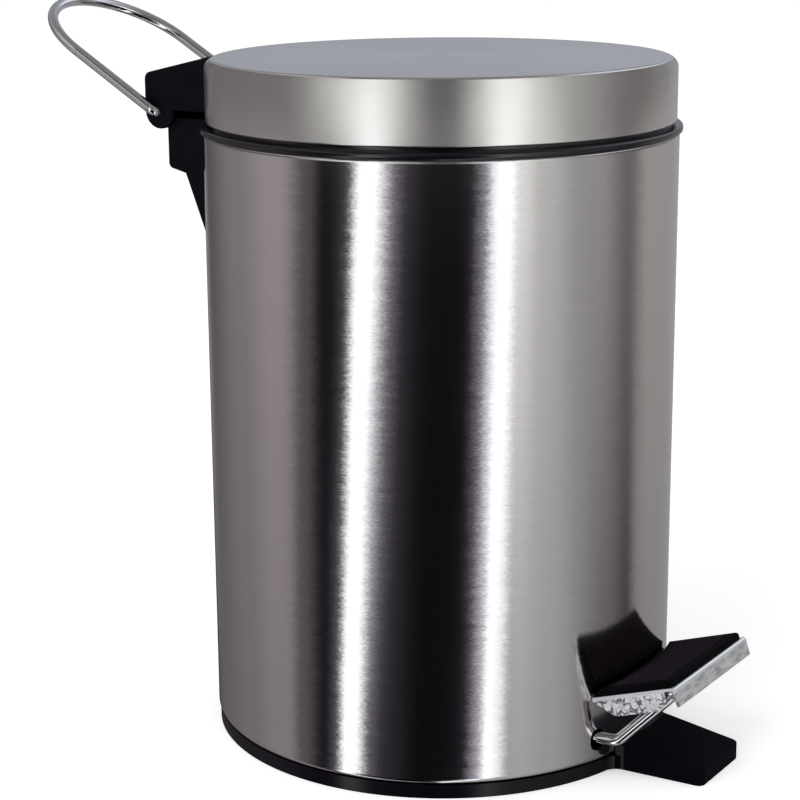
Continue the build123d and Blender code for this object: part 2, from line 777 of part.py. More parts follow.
with BuildPart() as body_bracket:
    with BuildSketch(Plane.YZ) as lower_side:
        with BuildLine():
            Polyline(
                (lower_front_y, lower_top),
                (hinge_y - ear_radius, lower_top),
                (hinge_y - ear_radius, hinge_z),
                (lower_back_y, hinge_z),
                (lower_back_y, lower_back_z),
                (lower_step_y, lower_step_z),
                (lower_front_y, lower_tip_z),
                close=True,
            )
        make_face()
        step_corner = lower_side.vertices().sort_by_distance((lower_back_y, lower_back_z))[0]
        fillet(step_corner, lower_step_radius)
        with Locations((hinge_y, hinge_z)):
            Circle(ear_radius)
    extrude(amount=lower_half, both=True)
    add(body_bracket_hollow.part, mode=Mode.SUBTRACT)
    with BuildSketch(Plane.YZ):
        with Locations((hinge_y - ear_radius, lower_top - lower_plate)):
            Rectangle(
                ear_radius - handle_wire / 2 - hinge_wall_gap,
                bracket_seam - lower_top + lower_plate,
                align=(Align.MIN, Align.MIN),
            )
    extrude(amount=lower_half - ear_thickness, both=True)
    with BuildSketch(Plane.YZ):
        with BuildLine():
            Polyline(
                (lower_front_y, lower_top - 2 * lower_plate),
                (lower_back_y - lower_plate / 2, lower_top - 2 * lower_plate),
                (lower_back_y - lower_plate / 2, lower_back_z + lower_plate / 2),
                (lower_step_y - lower_plate / 2, lower_step_z),
                (lower_front_y - lower_plate / 2, lower_tip_z),
                close=True,
            )
        make_face()
    extrude(amount=bracket_rib_thickness / 2, both=True)
    for turn, level in body_screws:
        with BuildSketch(radial_plane(turn, drum_seat_radius, level)):
            Circle(boss_radius)
        extrude(amount=screw_reach + boss_tip)
        with BuildSketch(radial_plane(turn, drum_seat_radius, level)):
            Circle(screw_radius + screw_fit)
        extrude(amount=screw_reach, both=True, mode=Mode.SUBTRACT)
    with BuildSketch(Plane.XY.offset(lower_tip_z - drum_radius / 2)):
        Circle(drum_seat_radius)
    extrude(amount=drum_height, mode=Mode.SUBTRACT)
    with BuildSketch(Plane.XY.offset(drum_top - ring_skirt - seat_clearance)):
        Circle(ring_radius + seat_clearance)
    extrude(amount=drum_height, mode=Mode.SUBTRACT)
    with BuildSketch(Plane.YZ):
        with Locations((hinge_y, hinge_z)):
            Circle(handle_wire / 2 + running_clearance)
    extrude(amount=bracket_width, both=True, mode=Mode.SUBTRACT)
body_bracket.part.label = "body_bracket"
export_step(body_bracket.part, "parts/body_bracket.step")

with BuildPart() as body_bracket_screws:
    for turn, level in body_screws:
        seat = radial_plane(turn, drum_inner - seat_clearance / 2, level)
        with BuildSketch(seat):
            Circle(screw_radius)
        extrude(amount=screw_reach)
        with BuildSketch(seat):
            Circle(screw_head_radius)
        extrude(amount=-screw_head_height)
body_bracket_screws.part.label = "body_bracket_screws"
export_step(body_bracket_screws.part, "parts/body_bracket_screws.step")

# Carry handle: hooked ends on the hinge axis, straight legs and a half-round end
handle_x = bracket_half + handle_gap + handle_wire / 2
handle_leg_y = hinge_y + handle_leg * cos(radians(handle_rise))
handle_leg_z = hinge_z + handle_leg * sin(radians(handle_rise))
handle_end_y = hinge_y + (handle_leg + handle_x) * cos(radians(handle_rise))
handle_end_z = hinge_z + (handle_leg + handle_x) * sin(radians(handle_rise))

with BuildPart() as carry_handle:
    with BuildLine() as handle_path:
        FilletPolyline(
            (-handle_hook_end, hinge_y, hinge_z),
            (-handle_x, hinge_y, hinge_z),
            (-handle_x, handle_leg_y, handle_leg_z),
            radius=handle_hook_radius,
        )
        ThreePointArc(
            (-handle_x, handle_leg_y, handle_leg_z),
            (0, handle_end_y, handle_end_z),
            (handle_x, handle_leg_y, handle_leg_z),
        )
        FilletPolyline(
            (handle_x, handle_leg_y, handle_leg_z),
            (handle_x, hinge_y, hinge_z),
            (handle_hook_end, hinge_y, hinge_z),
            radius=handle_hook_radius,
        )
    with BuildSketch(square_to(handle_path.wire())):
        Circle(handle_wire / 2)
    sweep(path=handle_path.wire())
carry_handle.part.label = "carry_handle"
export_step(carry_handle.part, "parts/carry_handle.step")

# Pedal lever: wire frame from the pedal's lip through the drum to the strap
with BuildPart() as pedal_lever:
    with BuildLine() as lever_path:
        FilletPolyline(
            (0, wire_front.Y, wire_front.Z),
            (leg_x, wire_front.Y, wire_front.Z),
            (leg_x, leg_front_y, lever_front_height),
            (leg_x, lever_rear_y, lever_rear_height),
            (0, lever_rear_y, lever_rear_height),
            radius=[lever_corner_radius, lever_bend_radius, lever_corner_radius],
        )
    with BuildSketch(square_to(lever_path.wire())):
        Circle(lever_wire / 2)
    sweep(path=lever_path.wire())
    mirror(about=Plane.YZ)
pedal_lever.part.label = "pedal_lever"
export_step(pedal_lever.part, "parts/pedal_lever.step")

with BuildPart() as lever_axle:
    with BuildSketch(Plane.YZ):
        with Locations((axle_y, axle_z)):
            Circle(axle_radius)
    extrude(amount=leg_x + axle_overhang, both=True)
lever_axle.part.label = "lever_axle"
export_step(lever_axle.part, "parts/lever_axle.step")

# Pedal plate: pressed sheet with two side flanges and a front lip over the wire
plate_rear_y = -sqrt(drum_radius**2 - (pedal_width / 2) ** 2)
plate_length = (plate_rear_y - pedal_front_y) / cos(radians(pedal_tilt))
flange_plane = Plane(
    origin=pedal_plane.from_local_coords((-pedal_width / 2, 0, 0)),
    x_dir=pedal_plane.y_dir,
    z_dir=(1, 0, 0),
)
flange_slope_end = pedal_flange_relief + pedal_flange_slope_run
flange_rear_start = plate_length - pedal_flange_rear_run

with BuildPart() as pedal_plate:
    with BuildSketch(pedal_plane):
        Rectangle(pedal_width, plate_length, align=(Align.CENTER, Align.MIN))
    extrude(amount=-pedal_sheet)
    with BuildSketch(pedal_plane):
        Rectangle(pedal_width, pedal_sheet, align=(Align.CENTER, Align.MIN))
    extrude(amount=-pedal_lip_depth)
    front_fold = pedal_plate.edges().filter_by(Axis.X).sort_by_distance(pedal_plane.origin)[0]
    fillet(front_fold, pedal_lip_radius)
    with BuildSketch(flange_plane) as flange_side:
        with BuildLine():
            Polyline(
                (pedal_flange_relief, 0),
                (plate_length, 0),
                (plate_length, -pedal_sheet),
                (flange_rear_start, -pedal_flange_depth),
                (flange_slope_end, -pedal_flange_depth),
                (pedal_flange_relief, -pedal_flange_front_depth),
                close=True,
            )
        make_face()
        heel = flange_side.vertices().sort_by_distance((flange_rear_start, -pedal_flange_depth))[0]
        fillet(heel, pedal_flange_radius)
    extrude(amount=pedal_sheet)
    mirror(about=Plane.YZ)
    with BuildSketch():
        Circle(drum_radius + pedal_wall_gap)
    extrude(amount=2 * pedal_front_height, mode=Mode.SUBTRACT)
pedal_plate.part.label = "pedal_plate"
export_step(pedal_plate.part, "parts/pedal_plate.step")

with BuildPart() as pedal_pad:
    with BuildSketch(pedal_plane) as pad_plan:
        with Locations((0, pad_margin)):
            Rectangle(
                pedal_width - 2 * pad_margin,
                plate_length,
                align=(Align.CENTER, Align.MIN),
            )
        fillet(pad_plan.vertices().group_by(Axis.Y)[0], pad_corner_radius)
    extrude(amount=pad_thickness)
    with BuildSketch():
        Circle(drum_radius + pedal_wall_gap + pad_margin)
    extrude(amount=2 * pedal_front_height, mode=Mode.SUBTRACT)
    pad_top = pedal_pad.faces().filter_by(pedal_plane).sort_by(Axis.Z)[-1]
    fillet(pad_top.edges(), pad_edge_radius)
pedal_pad.part.label = "pedal_pad"
export_step(pedal_pad.part, "parts/pedal_pad.step")

# Bucket: tapered pail hung by its rim on the ring's ledge, with a channel behind and two bail ears
bucket_top = ledge_top
bucket_radius = ring_inner - ledge_width - bucket_neck_play
bucket_foot_radius = bucket_radius - bucket_taper
bucket_rim_radius = ring_inner - bucket_rim_play
rim_top = bucket_top + bucket_rim
bucket_height = bucket_top - bucket_bottom
eye_front_y = pin_slot_y - pin_slot_length / 2 - strap_eye_edge
arm_front_y = hinge_y - pin_reach - arm_end_radius
channel_y = min(eye_front_y, arm_front_y) - channel_gap
bail_radius = bucket_rim_radius - bail_inset
bail_z = rim_top + bail_wire / 2 + bail_seat
bail_ear_x = bail_radius - bail_bend_radius - bail_seat - bail_ear_thickness

with BuildPart() as bucket_hollow:
    with BuildSketch(Plane.XZ):
        with BuildLine():
            Polyline(
                (0, bucket_bottom + bucket_floor),
                (bucket_foot_radius - bucket_wall, bucket_bottom + bucket_floor),
                (bucket_radius - bucket_wall, bucket_top),
                (bucket_radius - bucket_wall, rim_top + bucket_rim),
                (0, rim_top + bucket_rim),
                close=True,
            )
        make_face()
    revolve(axis=Axis.Z)
    with BuildSketch(Plane.XY.offset(bucket_bottom)):
        with Locations((0, channel_y - bucket_wall)):
            Rectangle(
                channel_width + 2 * bucket_wall,
                bucket_radius,
                align=(Align.CENTER, Align.MIN),
            )
    extrude(amount=2 * bucket_height, mode=Mode.SUBTRACT)

with BuildPart() as inner_bucket:
    with BuildSketch(Plane.XZ):
        with BuildLine():
            Polyline(
                (0, bucket_bottom),
                (bucket_foot_radius, bucket_bottom),
                (bucket_radius, bucket_top),
                (bucket_rim_radius, bucket_top),
                (bucket_rim_radius, rim_top),
                (0, rim_top),
                close=True,
            )
        make_face()
    revolve(axis=Axis.Z)
    with BuildSketch(Plane.XY.offset(bucket_bottom)):
        with Locations((0, channel_y)):
            Rectangle(channel_width, bucket_radius, align=(Align.CENTER, Align.MIN))
    extrude(amount=2 * bucket_height, mode=Mode.SUBTRACT)
    add(bucket_hollow.part, mode=Mode.SUBTRACT)
    for side in (-1, 1):
        with BuildSketch(Plane.YZ.offset(side * bail_ear_x)):
            with Locations((0, bail_z)):
                Circle(bail_ear_radius)
            with Locations((0, rim_top)):
                Rectangle(2 * bail_ear_radius, bail_z - rim_top, align=(Align.CENTER, Align.MIN))
                Rectangle(
                    4 * bail_ear_radius,
                    2 * bail_ear_radius,
                    align=(Align.CENTER, Align.MAX),
                    mode=Mode.SUBTRACT,
                )
            with Locations((0, bail_z)):
                Circle(bail_wire / 2 + running_clearance, mode=Mode.SUBTRACT)
        extrude(amount=side * bail_ear_thickness)
inner_bucket.part.label = "inner_bucket"
export_step(inner_bucket.part, "parts/inner_bucket.step")

# Bail: half-round wire resting on the bucket's rim, its ends turned in through the ears
bail_end_x = bail_ear_x - bail_end
with BuildPart() as bucket_bail:
    with BuildLine() as bail_path:
        FilletPolyline(
            (-bail_end_x, 0, bail_z),
            (-bail_radius, 0, bail_z),
            (-bail_radius, -2 * bail_bend_radius, bail_z),
            radius=bail_bend_radius,
        )
        ThreePointArc(
            (-bail_radius, -2 * bail_bend_radius, bail_z),
            (0, -bail_radius, bail_z),
            (bail_radius, -2 * bail_bend_radius, bail_z),
        )
        FilletPolyline(
            (bail_radius, -2 * bail_bend_radius, bail_z),
            (bail_radius, 0, bail_z),
            (bail_end_x, 0, bail_z),
            radius=bail_bend_radius,
        )
    with BuildSketch(square_to(bail_path.wire())):
        Circle(bail_wire / 2)
    sweep(path=bail_path.wire())
bucket_bail.part.label = "bucket_bail"
export_step(bucket_bail.part, "parts/bucket_bail.step")

# What the joints need: travels and axes that follow from the sizes
print("hinge axis y, z:", round(hinge_y, 3), round(hinge_z, 3))
print("axle y, z:", round(axle_y, 3), round(axle_z, 3))
print("lift travel:", round(lift_travel, 4), "per radian:", round(lift_travel / radians(lid_opening), 4))
print("lever swing:", round(degrees(lever_swing), 4), "ratio:", round(degrees(lever_swing) / lid_opening, 6))
print("bail axis z:", round(bail_z, 3))
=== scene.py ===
import json
from math import cos, pi, radians, sin

import bpy
from mathutils import Matrix, Vector


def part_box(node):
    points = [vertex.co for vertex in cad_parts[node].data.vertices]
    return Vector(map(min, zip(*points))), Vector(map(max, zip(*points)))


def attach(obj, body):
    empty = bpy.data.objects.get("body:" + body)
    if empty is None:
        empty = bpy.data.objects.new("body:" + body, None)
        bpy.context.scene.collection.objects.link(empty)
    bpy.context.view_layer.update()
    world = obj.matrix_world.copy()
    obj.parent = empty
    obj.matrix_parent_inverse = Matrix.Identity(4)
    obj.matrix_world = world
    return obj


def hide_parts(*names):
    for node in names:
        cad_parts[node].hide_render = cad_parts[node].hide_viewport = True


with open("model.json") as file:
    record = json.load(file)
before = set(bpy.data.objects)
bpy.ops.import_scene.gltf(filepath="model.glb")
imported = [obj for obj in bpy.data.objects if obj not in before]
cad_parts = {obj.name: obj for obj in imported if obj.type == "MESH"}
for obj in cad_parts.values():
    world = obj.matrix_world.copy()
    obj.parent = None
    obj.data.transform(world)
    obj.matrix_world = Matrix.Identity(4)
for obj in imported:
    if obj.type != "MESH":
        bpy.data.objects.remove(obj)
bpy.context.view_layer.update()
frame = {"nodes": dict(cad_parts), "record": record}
nodes = frame["nodes"]

# A round pedal bin: steel drum and lid, black mouldings, chromed wire and a rubber-padded pedal.
# Metres, +Z up, the pedal to -Y and the hinge to +Y.

# Camera: where it stands, measured from the drum's axis, how it is turned, and its lens
camera_distance = 0.9068
camera_height = 0.3766
camera_turn = radians(32.0)
camera_pitch = 0.2496
camera_yaw = -0.0203
camera_roll = -0.0068
camera_lens = 94.33
camera_sensor = 36.0

# The drum's radius, as in the part, and the depths in front of it between which the polish of ring and base ends
drum_radius = 0.1025
polish_fades = -0.1040
polish_ends = -0.1050

# Pedal, as in the part: half width, tilt, front edge, and the pad's top over the plate
pedal_half = 0.03525
pedal_tilt = radians(18.5)
pedal_front = (0.0, -0.1345, 0.0490)
pad_rise = 0.0028

# Studs on the pad: the border beside them, their field, pitch and shape, and how far they stay off the drum
pad_border = 0.0048
tread_front = 0.0062
tread_depth = 0.0400
tread_pitch = 0.0017
tread_corner = (
    0.0,
    pedal_front[1] + tread_front * cos(pedal_tilt) + pad_rise * sin(pedal_tilt),
    pedal_front[2] - tread_front * sin(pedal_tilt) + pad_rise * cos(pedal_tilt),
)
stud_width = 0.0012
stud_height = 0.0005
stud_taper = 0.62
half_diagonal = 0.7071
drum_clearance = 0.0048

# Strip of the pedal's plate next to the drum that is painted near black, a painted shade: its reach and its soft edge
painted_shade_strip_reach = 0.0048
painted_shade_strip_fade = 0.0006

# Lid, as in the part: its height and its rim's rounding
lid_height = 0.0266
lid_fillet = 0.0045

# Lid, as its shading shows it: the skirt's draft at its foot and under its rim, and where the rounding turns over
foot_draft = 0.06
rim_draft = 0.11
rim_turn = (radians(52), radians(84))

# Least radius that a direction is divided by, and the angle from which an edge stays sharp
least_radius = 0.001
sharp_angle = radians(40)

# Screws, as in the part: bearing, seat radius and levels of those in lid and drum, and places of those in the caps
lid_screw_bearing = 0.19875
lid_screw_seat = 0.10035
lid_screw_levels = [0.2848]
drum_screw_bearing = 0.25344
drum_screw_seat = 0.10155
drum_screw_levels = [0.2527, 0.2323]
axle_line = -0.090
cap_middles = (-0.013, 0.013)
cap_screw_offsets = (-0.0046, 0.0046)

# Levels of the room's light
fill_level = 0.66
backdrop_level = 1.0
floor_glow = 0.40
studio_peak = 2.2
overhead_level = 0.22

# Lean of the bands at the drum: how much, towards which side, and how far a ray falls that sees none
studio_lean = radians(42)
lean_side = radians(28)
lean_level = 0.26

# Floor and key lamp
floor_radius = 4.0
floor_sides = 96
key_size = (1.2, 0.9)
key_power = 9.0
key_place = (-1.1, 0.2, 1.5)
key_aim = (0, 0, 0.15)

# How steeply mirror rays rise, or fall where negative: off the drum, off the lid's skirt, to windows and ceiling
ray_at_top = -0.15
ray_at_foot = -0.39
ray_under_lid = -0.062
ray_at_lid = -0.030
ray_at_lid_top = 0.07
ray_at_lid_foot = 0.0
ray_over_lid = 0.14
ray_at_windows = 0.24
ray_under_ceiling = 0.60
ray_at_ceiling = 0.90

# The studio that the steel mirrors, as tints and bands: bearing from the camera in degrees, right positive, and level
cool = (0.90, 0.98, 1.08)
plain = (1.0, 1.0, 1.0)
rosy = (1.02, 0.97, 1.01)
warm = (1.03, 1.02, 0.97)
olive = (1.01, 1.07, 1.01)
daylight = (0.97, 1.05, 1.03)
violet = (0.98, 0.94, 1.11)

# Bands at the drum: bearing and level that its top mirrors, then those that its foot mirrors
drum_bands = [
    ("gap behind, left", -180, 0.02, -180, 0.02, plain),
    ("gap behind, left edge", -170, 0.02, -170, 0.02, plain),
    ("pale room, left", -162, 0.30, -163, 0.10, rosy),
    ("grey wall, left", -149, 0.12, -147, 0.17, rosy),
    ("left card", -114, 0.29, -111, 0.24, rosy),
    ("left card, near edge", -89, 0.43, -89, 0.31, rosy),
    ("left flag, soft side", -85, 0.42, -80, 0.31, rosy),
    ("left flag", -69, 0.11, -70, 0.13, rosy),
    ("left flag, dark end", -61, 0.002, -56, 0.016, violet),
    ("left strip, edge", -47.5, 0.012, -49, 0.10, violet),
    ("left strip, bright edge", -43.5, 1.75, -43, 2.10, daylight),
    ("left strip", -38.5, 2.20, -38.5, 1.80, daylight),
    ("left strip, soft side", -25.5, 0.18, -31, 0.11, violet),
    ("middle flag, left end", -20, 0.032, -23.5, 0.034, violet),
    ("middle flag", -11, 0.006, -5, 0.005, violet),
    ("middle flag, right end", 10.5, 0.003, 15.5, 0.010, violet),
    ("right strip, soft side", 17.5, 0.30, 22, 0.50, violet),
    ("right strip, bright edge", 22.5, 1.60, 25.5, 1.95, daylight),
    ("right strip", 28.5, 2.05, 30, 1.50, daylight),
    ("right strip, edge", 35.5, 1.15, 36, 0.49, olive),
    ("right wall, near", 48, 0.72, 40, 0.56, olive),
    ("right wall", 70, 0.44, 55, 0.48, olive),
    ("right wall, far", 80, 0.43, 89, 0.15, plain),
    ("right flag", 103, 0.21, 102, 0.06, rosy),
    ("pale wall, right", 121, 0.45, 112, 0.31, warm),
    ("grey wall, right", 150, 0.40, 150, 0.31, plain),
    ("pale room behind, right", 180, 0.39, 180, 0.39, cool),
]

# Bands that the lid's skirt mirrors under its rim
lid_bands = [
    ("pale room behind, left", -180, 0.49, cool),
    ("room, left", -166, 0.40, cool),
    ("grey wall, left", -150, 0.16, rosy),
    ("left card", -106, 0.16, rosy),
    ("left flag", -78, 0.11, rosy),
    ("left strip, far side", -66, 0.24, olive),
    ("left strip, soft side", -54, 0.74, olive),
    ("left strip, edge", -44, 1.24, olive),
    ("left strip", -33, 1.76, daylight),
    ("left strip, near edge", -23, 1.20, olive),
    ("middle flag, left end", -13, 0.38, olive),
    ("middle flag", -4, 0.01, plain),
    ("middle flag, right end", 7, 0.01, plain),
    ("right strip, near edge", 16, 0.68, olive),
    ("right strip", 27, 1.72, daylight),
    ("right strip, bright side", 36, 1.60, olive),
    ("right strip, soft side", 47, 0.90, olive),
    ("right wall, near", 58, 0.53, olive),
    ("right wall", 69, 0.37, olive),
    ("right wall, far", 82, 0.24, warm),
    ("right flag, near side", 95, 0.15, warm),
    ("right flag", 111, 0.14, warm),
    ("pale wall, right", 131, 0.29, plain),
    ("room, right", 160, 0.45, cool),
    ("pale room behind, right", 180, 0.49, cool),
]

# Bands that the lid's skirt mirrors at its foot, where the middle flag has faded
lid_foot_bands = [
    ("pale room behind, left", -180, 0.45, cool),
    ("grey wall, left", -150, 0.14, rosy),
    ("left card", -106, 0.14, rosy),
    ("left flag", -78, 0.15, rosy),
    ("left strip, soft side", -58, 0.62, olive),
    ("left strip", -34, 1.52, daylight),
    ("middle flag, left end", -15, 0.70, olive),
    ("middle flag", -3, 0.40, plain),
    ("middle flag, right end", 6, 0.44, plain),
    ("right strip, near edge", 15, 0.92, olive),
    ("right strip", 29, 1.42, daylight),
    ("right strip, soft side", 47, 0.92, olive),
    ("right wall", 69, 0.34, olive),
    ("right flag, near side", 95, 0.14, warm),
    ("right flag", 111, 0.10, warm),
    ("pale wall, right", 131, 0.20, plain),
    ("pale room behind, right", 180, 0.45, cool),
]

# Bands high on the walls, over the lid
upper_bands = [
    ("back wall, left", -180, 0.32, cool),
    ("left wall", -120, 0.30, plain),
    ("left window", -76, 0.60, plain),
    ("left window, edge", -56, 0.55, plain),
    ("left flag, high", -50, 0.04, plain),
    ("left flag, near end", -38, 0.04, plain),
    ("front wall, left", -31, 0.50, plain),
    ("wall behind the camera", 0, 0.16, plain),
    ("right window, edge", 62, 0.35, plain),
    ("right window", 80, 0.95, cool),
    ("right window, far side", 138, 0.95, cool),
    ("right wall", 158, 0.40, cool),
    ("back wall, right", 180, 0.32, cool),
]


def clear_slots(piece, material):
    """Gives a piece one finish."""
    piece.data.materials.clear()
    piece.data.materials.append(material)


def new_material(name):
    """A new material; returns it with its tree and its shader."""
    material = bpy.data.materials.new(name)
    material.use_nodes = True
    tree = material.node_tree
    shader = next(n for n in tree.nodes if n.type == "BSDF_PRINCIPLED")
    return material, tree, shader


def add_node(tree, kind, label="", **settings):
    """A node with its own settings."""
    node = tree.nodes.new(kind)
    node.label = label
    for key, value in settings.items():
        setattr(node, key, value)
    return node


def supply(tree, socket, value):
    """Sets an input from another node's output or from a constant."""
    if isinstance(value, bpy.types.NodeSocket):
        tree.links.new(value, socket)
    else:
        socket.default_value = value


def fill(tree, node, *values):
    """Sets a node's inputs in their order; returns the node."""
    for socket, value in zip(node.inputs, values):
        supply(tree, socket, value)
    return node


def feed(tree, node, **values):
    """Sets a node's inputs by name, with spaces as underscores; returns the node."""
    for key, value in values.items():
        supply(tree, node.inputs[key.replace("_", " ")], value)
    return node


def math_node(tree, operation, *values):
    """A Math node fed by sockets or numbers; returns its output."""
    return fill(tree, add_node(tree, "ShaderNodeMath", operation=operation), *values).outputs[0]


def vector_node(tree, operation, *values):
    """A Vector Math node fed by sockets or constants; returns its vector."""
    return fill(tree, add_node(tree, "ShaderNodeVectorMath", operation=operation), *values).outputs[0]


def scaled(tree, vector, factor):
    """A vector made longer or shorter; returns its output."""
    node = fill(tree, add_node(tree, "ShaderNodeVectorMath", operation="SCALE"), vector)
    return feed(tree, node, Scale=factor).outputs[0]


def joined(tree, *parts):
    """A vector of up to three sockets or numbers; returns its output."""
    return fill(tree, add_node(tree, "ShaderNodeCombineXYZ"), *parts).outputs[0]


def parted(tree, vector):
    """A vector split into its three values; returns the node."""
    return fill(tree, add_node(tree, "ShaderNodeSeparateXYZ"), vector)


def mix_colour(tree, factor, first, second):
    """A colour mix fed by sockets or constants; returns its output."""
    node = add_node(tree, "ShaderNodeMix", data_type="RGBA")
    for name, value in (("Factor_Float", factor), ("A_Color", first), ("B_Color", second)):
        socket = next(s for s in node.inputs if s.identifier == name)
        supply(tree, socket, (*value, 1) if isinstance(value, tuple) else value)
    return next(s for s in node.outputs if s.identifier == "Result_Color")


def map_range(tree, value, low, high, to_low=0.0, to_high=1.0, shape="LINEAR"):
    """A change of range, clamped; returns its output."""
    node = add_node(tree, "ShaderNodeMapRange", interpolation_type=shape)
    feed(tree, node, Value=value, From_Min=low, From_Max=high, To_Min=to_low, To_Max=to_high)
    return node.outputs[0]


def noise(tree, vector, scale, detail=2.0, roughness=0.5):
    """A noise value on a vector."""
    node = add_node(tree, "ShaderNodeTexNoise")
    return feed(tree, node, Vector=vector, Scale=scale, Detail=detail, Roughness=roughness).outputs["Fac"]


def drawn_noise(tree, place, lines):
    """Noise drawn out, with its own number of lines per metre along each axis; returns its value."""
    mapping = feed(tree, add_node(tree, "ShaderNodeMapping"), Vector=place, Scale=lines)
    return noise(tree, mapping.outputs[0], 1.0, 3.0, 0.6)


def length_of(tree, first, second):
    """Length of a flat vector of two values."""
    squares = [math_node(tree, "MULTIPLY", value, value) for value in (first, second)]
    return math_node(tree, "SQRT", math_node(tree, "ADD", *squares))


def turned_vector(tree, vector, kind, source, target):
    """A vector or normal taken from one space to another; returns it."""
    node = add_node(tree, "ShaderNodeVectorTransform", vector_type=kind, convert_from=source, convert_to=target)
    return fill(tree, node, vector).outputs[0]


def face_normal(tree):
    """The normal of the face that is shaded."""
    return add_node(tree, "ShaderNodeNewGeometry").outputs["Normal"]


def shade(colour, factor, lift=0.0):
    """A colour made darker or lighter, with a little grey added."""
    return tuple(c * factor + lift for c in colour)


def new_group(name, inputs, outputs):
    """An empty shader group with named sockets."""
    tree = bpy.data.node_groups.new(name, "ShaderNodeTree")
    for socket, kind, value in inputs:
        made = tree.interface.new_socket(socket, in_out="INPUT", socket_type=kind)
        if value is not None:
            made.default_value = value
    for socket, kind in outputs:
        tree.interface.new_socket(socket, in_out="OUTPUT", socket_type=kind)
    return tree, tree.nodes.new("NodeGroupInput"), tree.nodes.new("NodeGroupOutput")


def place_group(tree, group, **values):
    """A group placed in a material, its inputs set by name; returns its node."""
    return feed(tree, add_node(tree, "ShaderNodeGroup", node_tree=group), **values)


# Shared effects


def brushed_grain_group():
    """Fine streaks: lines across one coordinate, drawn out along a direction."""
    tree, source, sink = new_group(
        "brushed_grain",
        [
            ("Across", "NodeSocketFloat", 0.0),
            ("Along", "NodeSocketVector", None),
            ("Lines per metre", "NodeSocketFloat", 2600.0),
            ("Runs per metre", "NodeSocketFloat", 22.0),
        ],
        [("Streak", "NodeSocketFloat"), ("Patch", "NodeSocketFloat")],
    )
    across = math_node(tree, "MULTIPLY", source.outputs["Across"], source.outputs["Lines per metre"])
    split = parted(tree, scaled(tree, source.outputs["Along"], source.outputs["Runs per metre"]))
    drawn_out = joined(tree, split.outputs[0], split.outputs[1], across)
    fine = noise(tree, drawn_out, 1.0, 3.0, 0.65)
    wide = noise(tree, drawn_out, 0.17, 2.0, 0.5)
    blend = math_node(tree, "ADD", math_node(tree, "MULTIPLY", fine, 0.7), math_node(tree, "MULTIPLY", wide, 0.3))
    tree.links.new(blend, sink.inputs["Streak"])
    patch = noise(tree, source.outputs["Along"], 9.0, 3.0, 0.5)
    tree.links.new(patch, sink.inputs["Patch"])
    return tree


def handling_group():
    """Soft smudges and sparse specks left by handling and dust."""
    tree, source, sink = new_group(
        "handling",
        [
            ("Place", "NodeSocketVector", None),
            ("Smudge size", "NodeSocketFloat", 28.0),
            ("Speck size", "NodeSocketFloat", 900.0),
        ],
        [("Smudge", "NodeSocketFloat"), ("Speck", "NodeSocketFloat")],
    )
    place = source.outputs["Place"]
    smudge = noise(tree, place, source.outputs["Smudge size"], 4.0)
    speck = feed(tree, add_node(tree, "ShaderNodeTexVoronoi"), Vector=place, Scale=source.outputs["Speck size"])
    tree.links.new(map_range(tree, smudge, 0.38, 0.68), sink.inputs["Smudge"])
    tree.links.new(map_range(tree, speck.outputs["Distance"], 0.0, 0.12, 1.0, 0.0), sink.inputs["Speck"])
    return tree


def painted_edge_highlight_group():
    """Mask of sharp edges, where a finish gets a painted highlight, and a normal that rounds them."""
    tree, source, sink = new_group(
        "painted_edge_highlight",
        [("Width", "NodeSocketFloat", 0.0006), ("Place", "NodeSocketVector", None)],
        [("Edge", "NodeSocketFloat"), ("Normal", "NodeSocketVector")],
    )
    bevel = add_node(tree, "ShaderNodeBevel", samples=6)
    tree.links.new(source.outputs["Width"], bevel.inputs["Radius"])
    turn = add_node(tree, "ShaderNodeVectorMath", operation="DOT_PRODUCT")
    fill(tree, turn, bevel.outputs[0], face_normal(tree))
    edge = map_range(tree, turn.outputs["Value"], 0.995, 0.80)
    broken = noise(tree, source.outputs["Place"], 260.0, 3.0, 0.6)
    patchy = math_node(tree, "MULTIPLY", edge, map_range(tree, broken, 0.40, 0.62, 0.15, 1.0))
    tree.links.new(patchy, sink.inputs["Edge"])
    tree.links.new(bevel.outputs[0], sink.inputs["Normal"])
    return tree


brushed_grain = brushed_grain_group()
handling = handling_group()
painted_edge_highlight = painted_edge_highlight_group()


def object_place(tree):
    """Object coordinates, whole and split."""
    place = add_node(tree, "ShaderNodeTexCoord").outputs["Object"]
    return place, parted(tree, place)


def bump(tree, height, strength, distance, normal=None):
    """A Bump node; returns its normal."""
    node = feed(tree, add_node(tree, "ShaderNodeBump"), Strength=strength, Distance=distance, Height=height)
    if normal is not None:
        tree.links.new(normal, node.inputs["Normal"])
    return node.outputs[0]


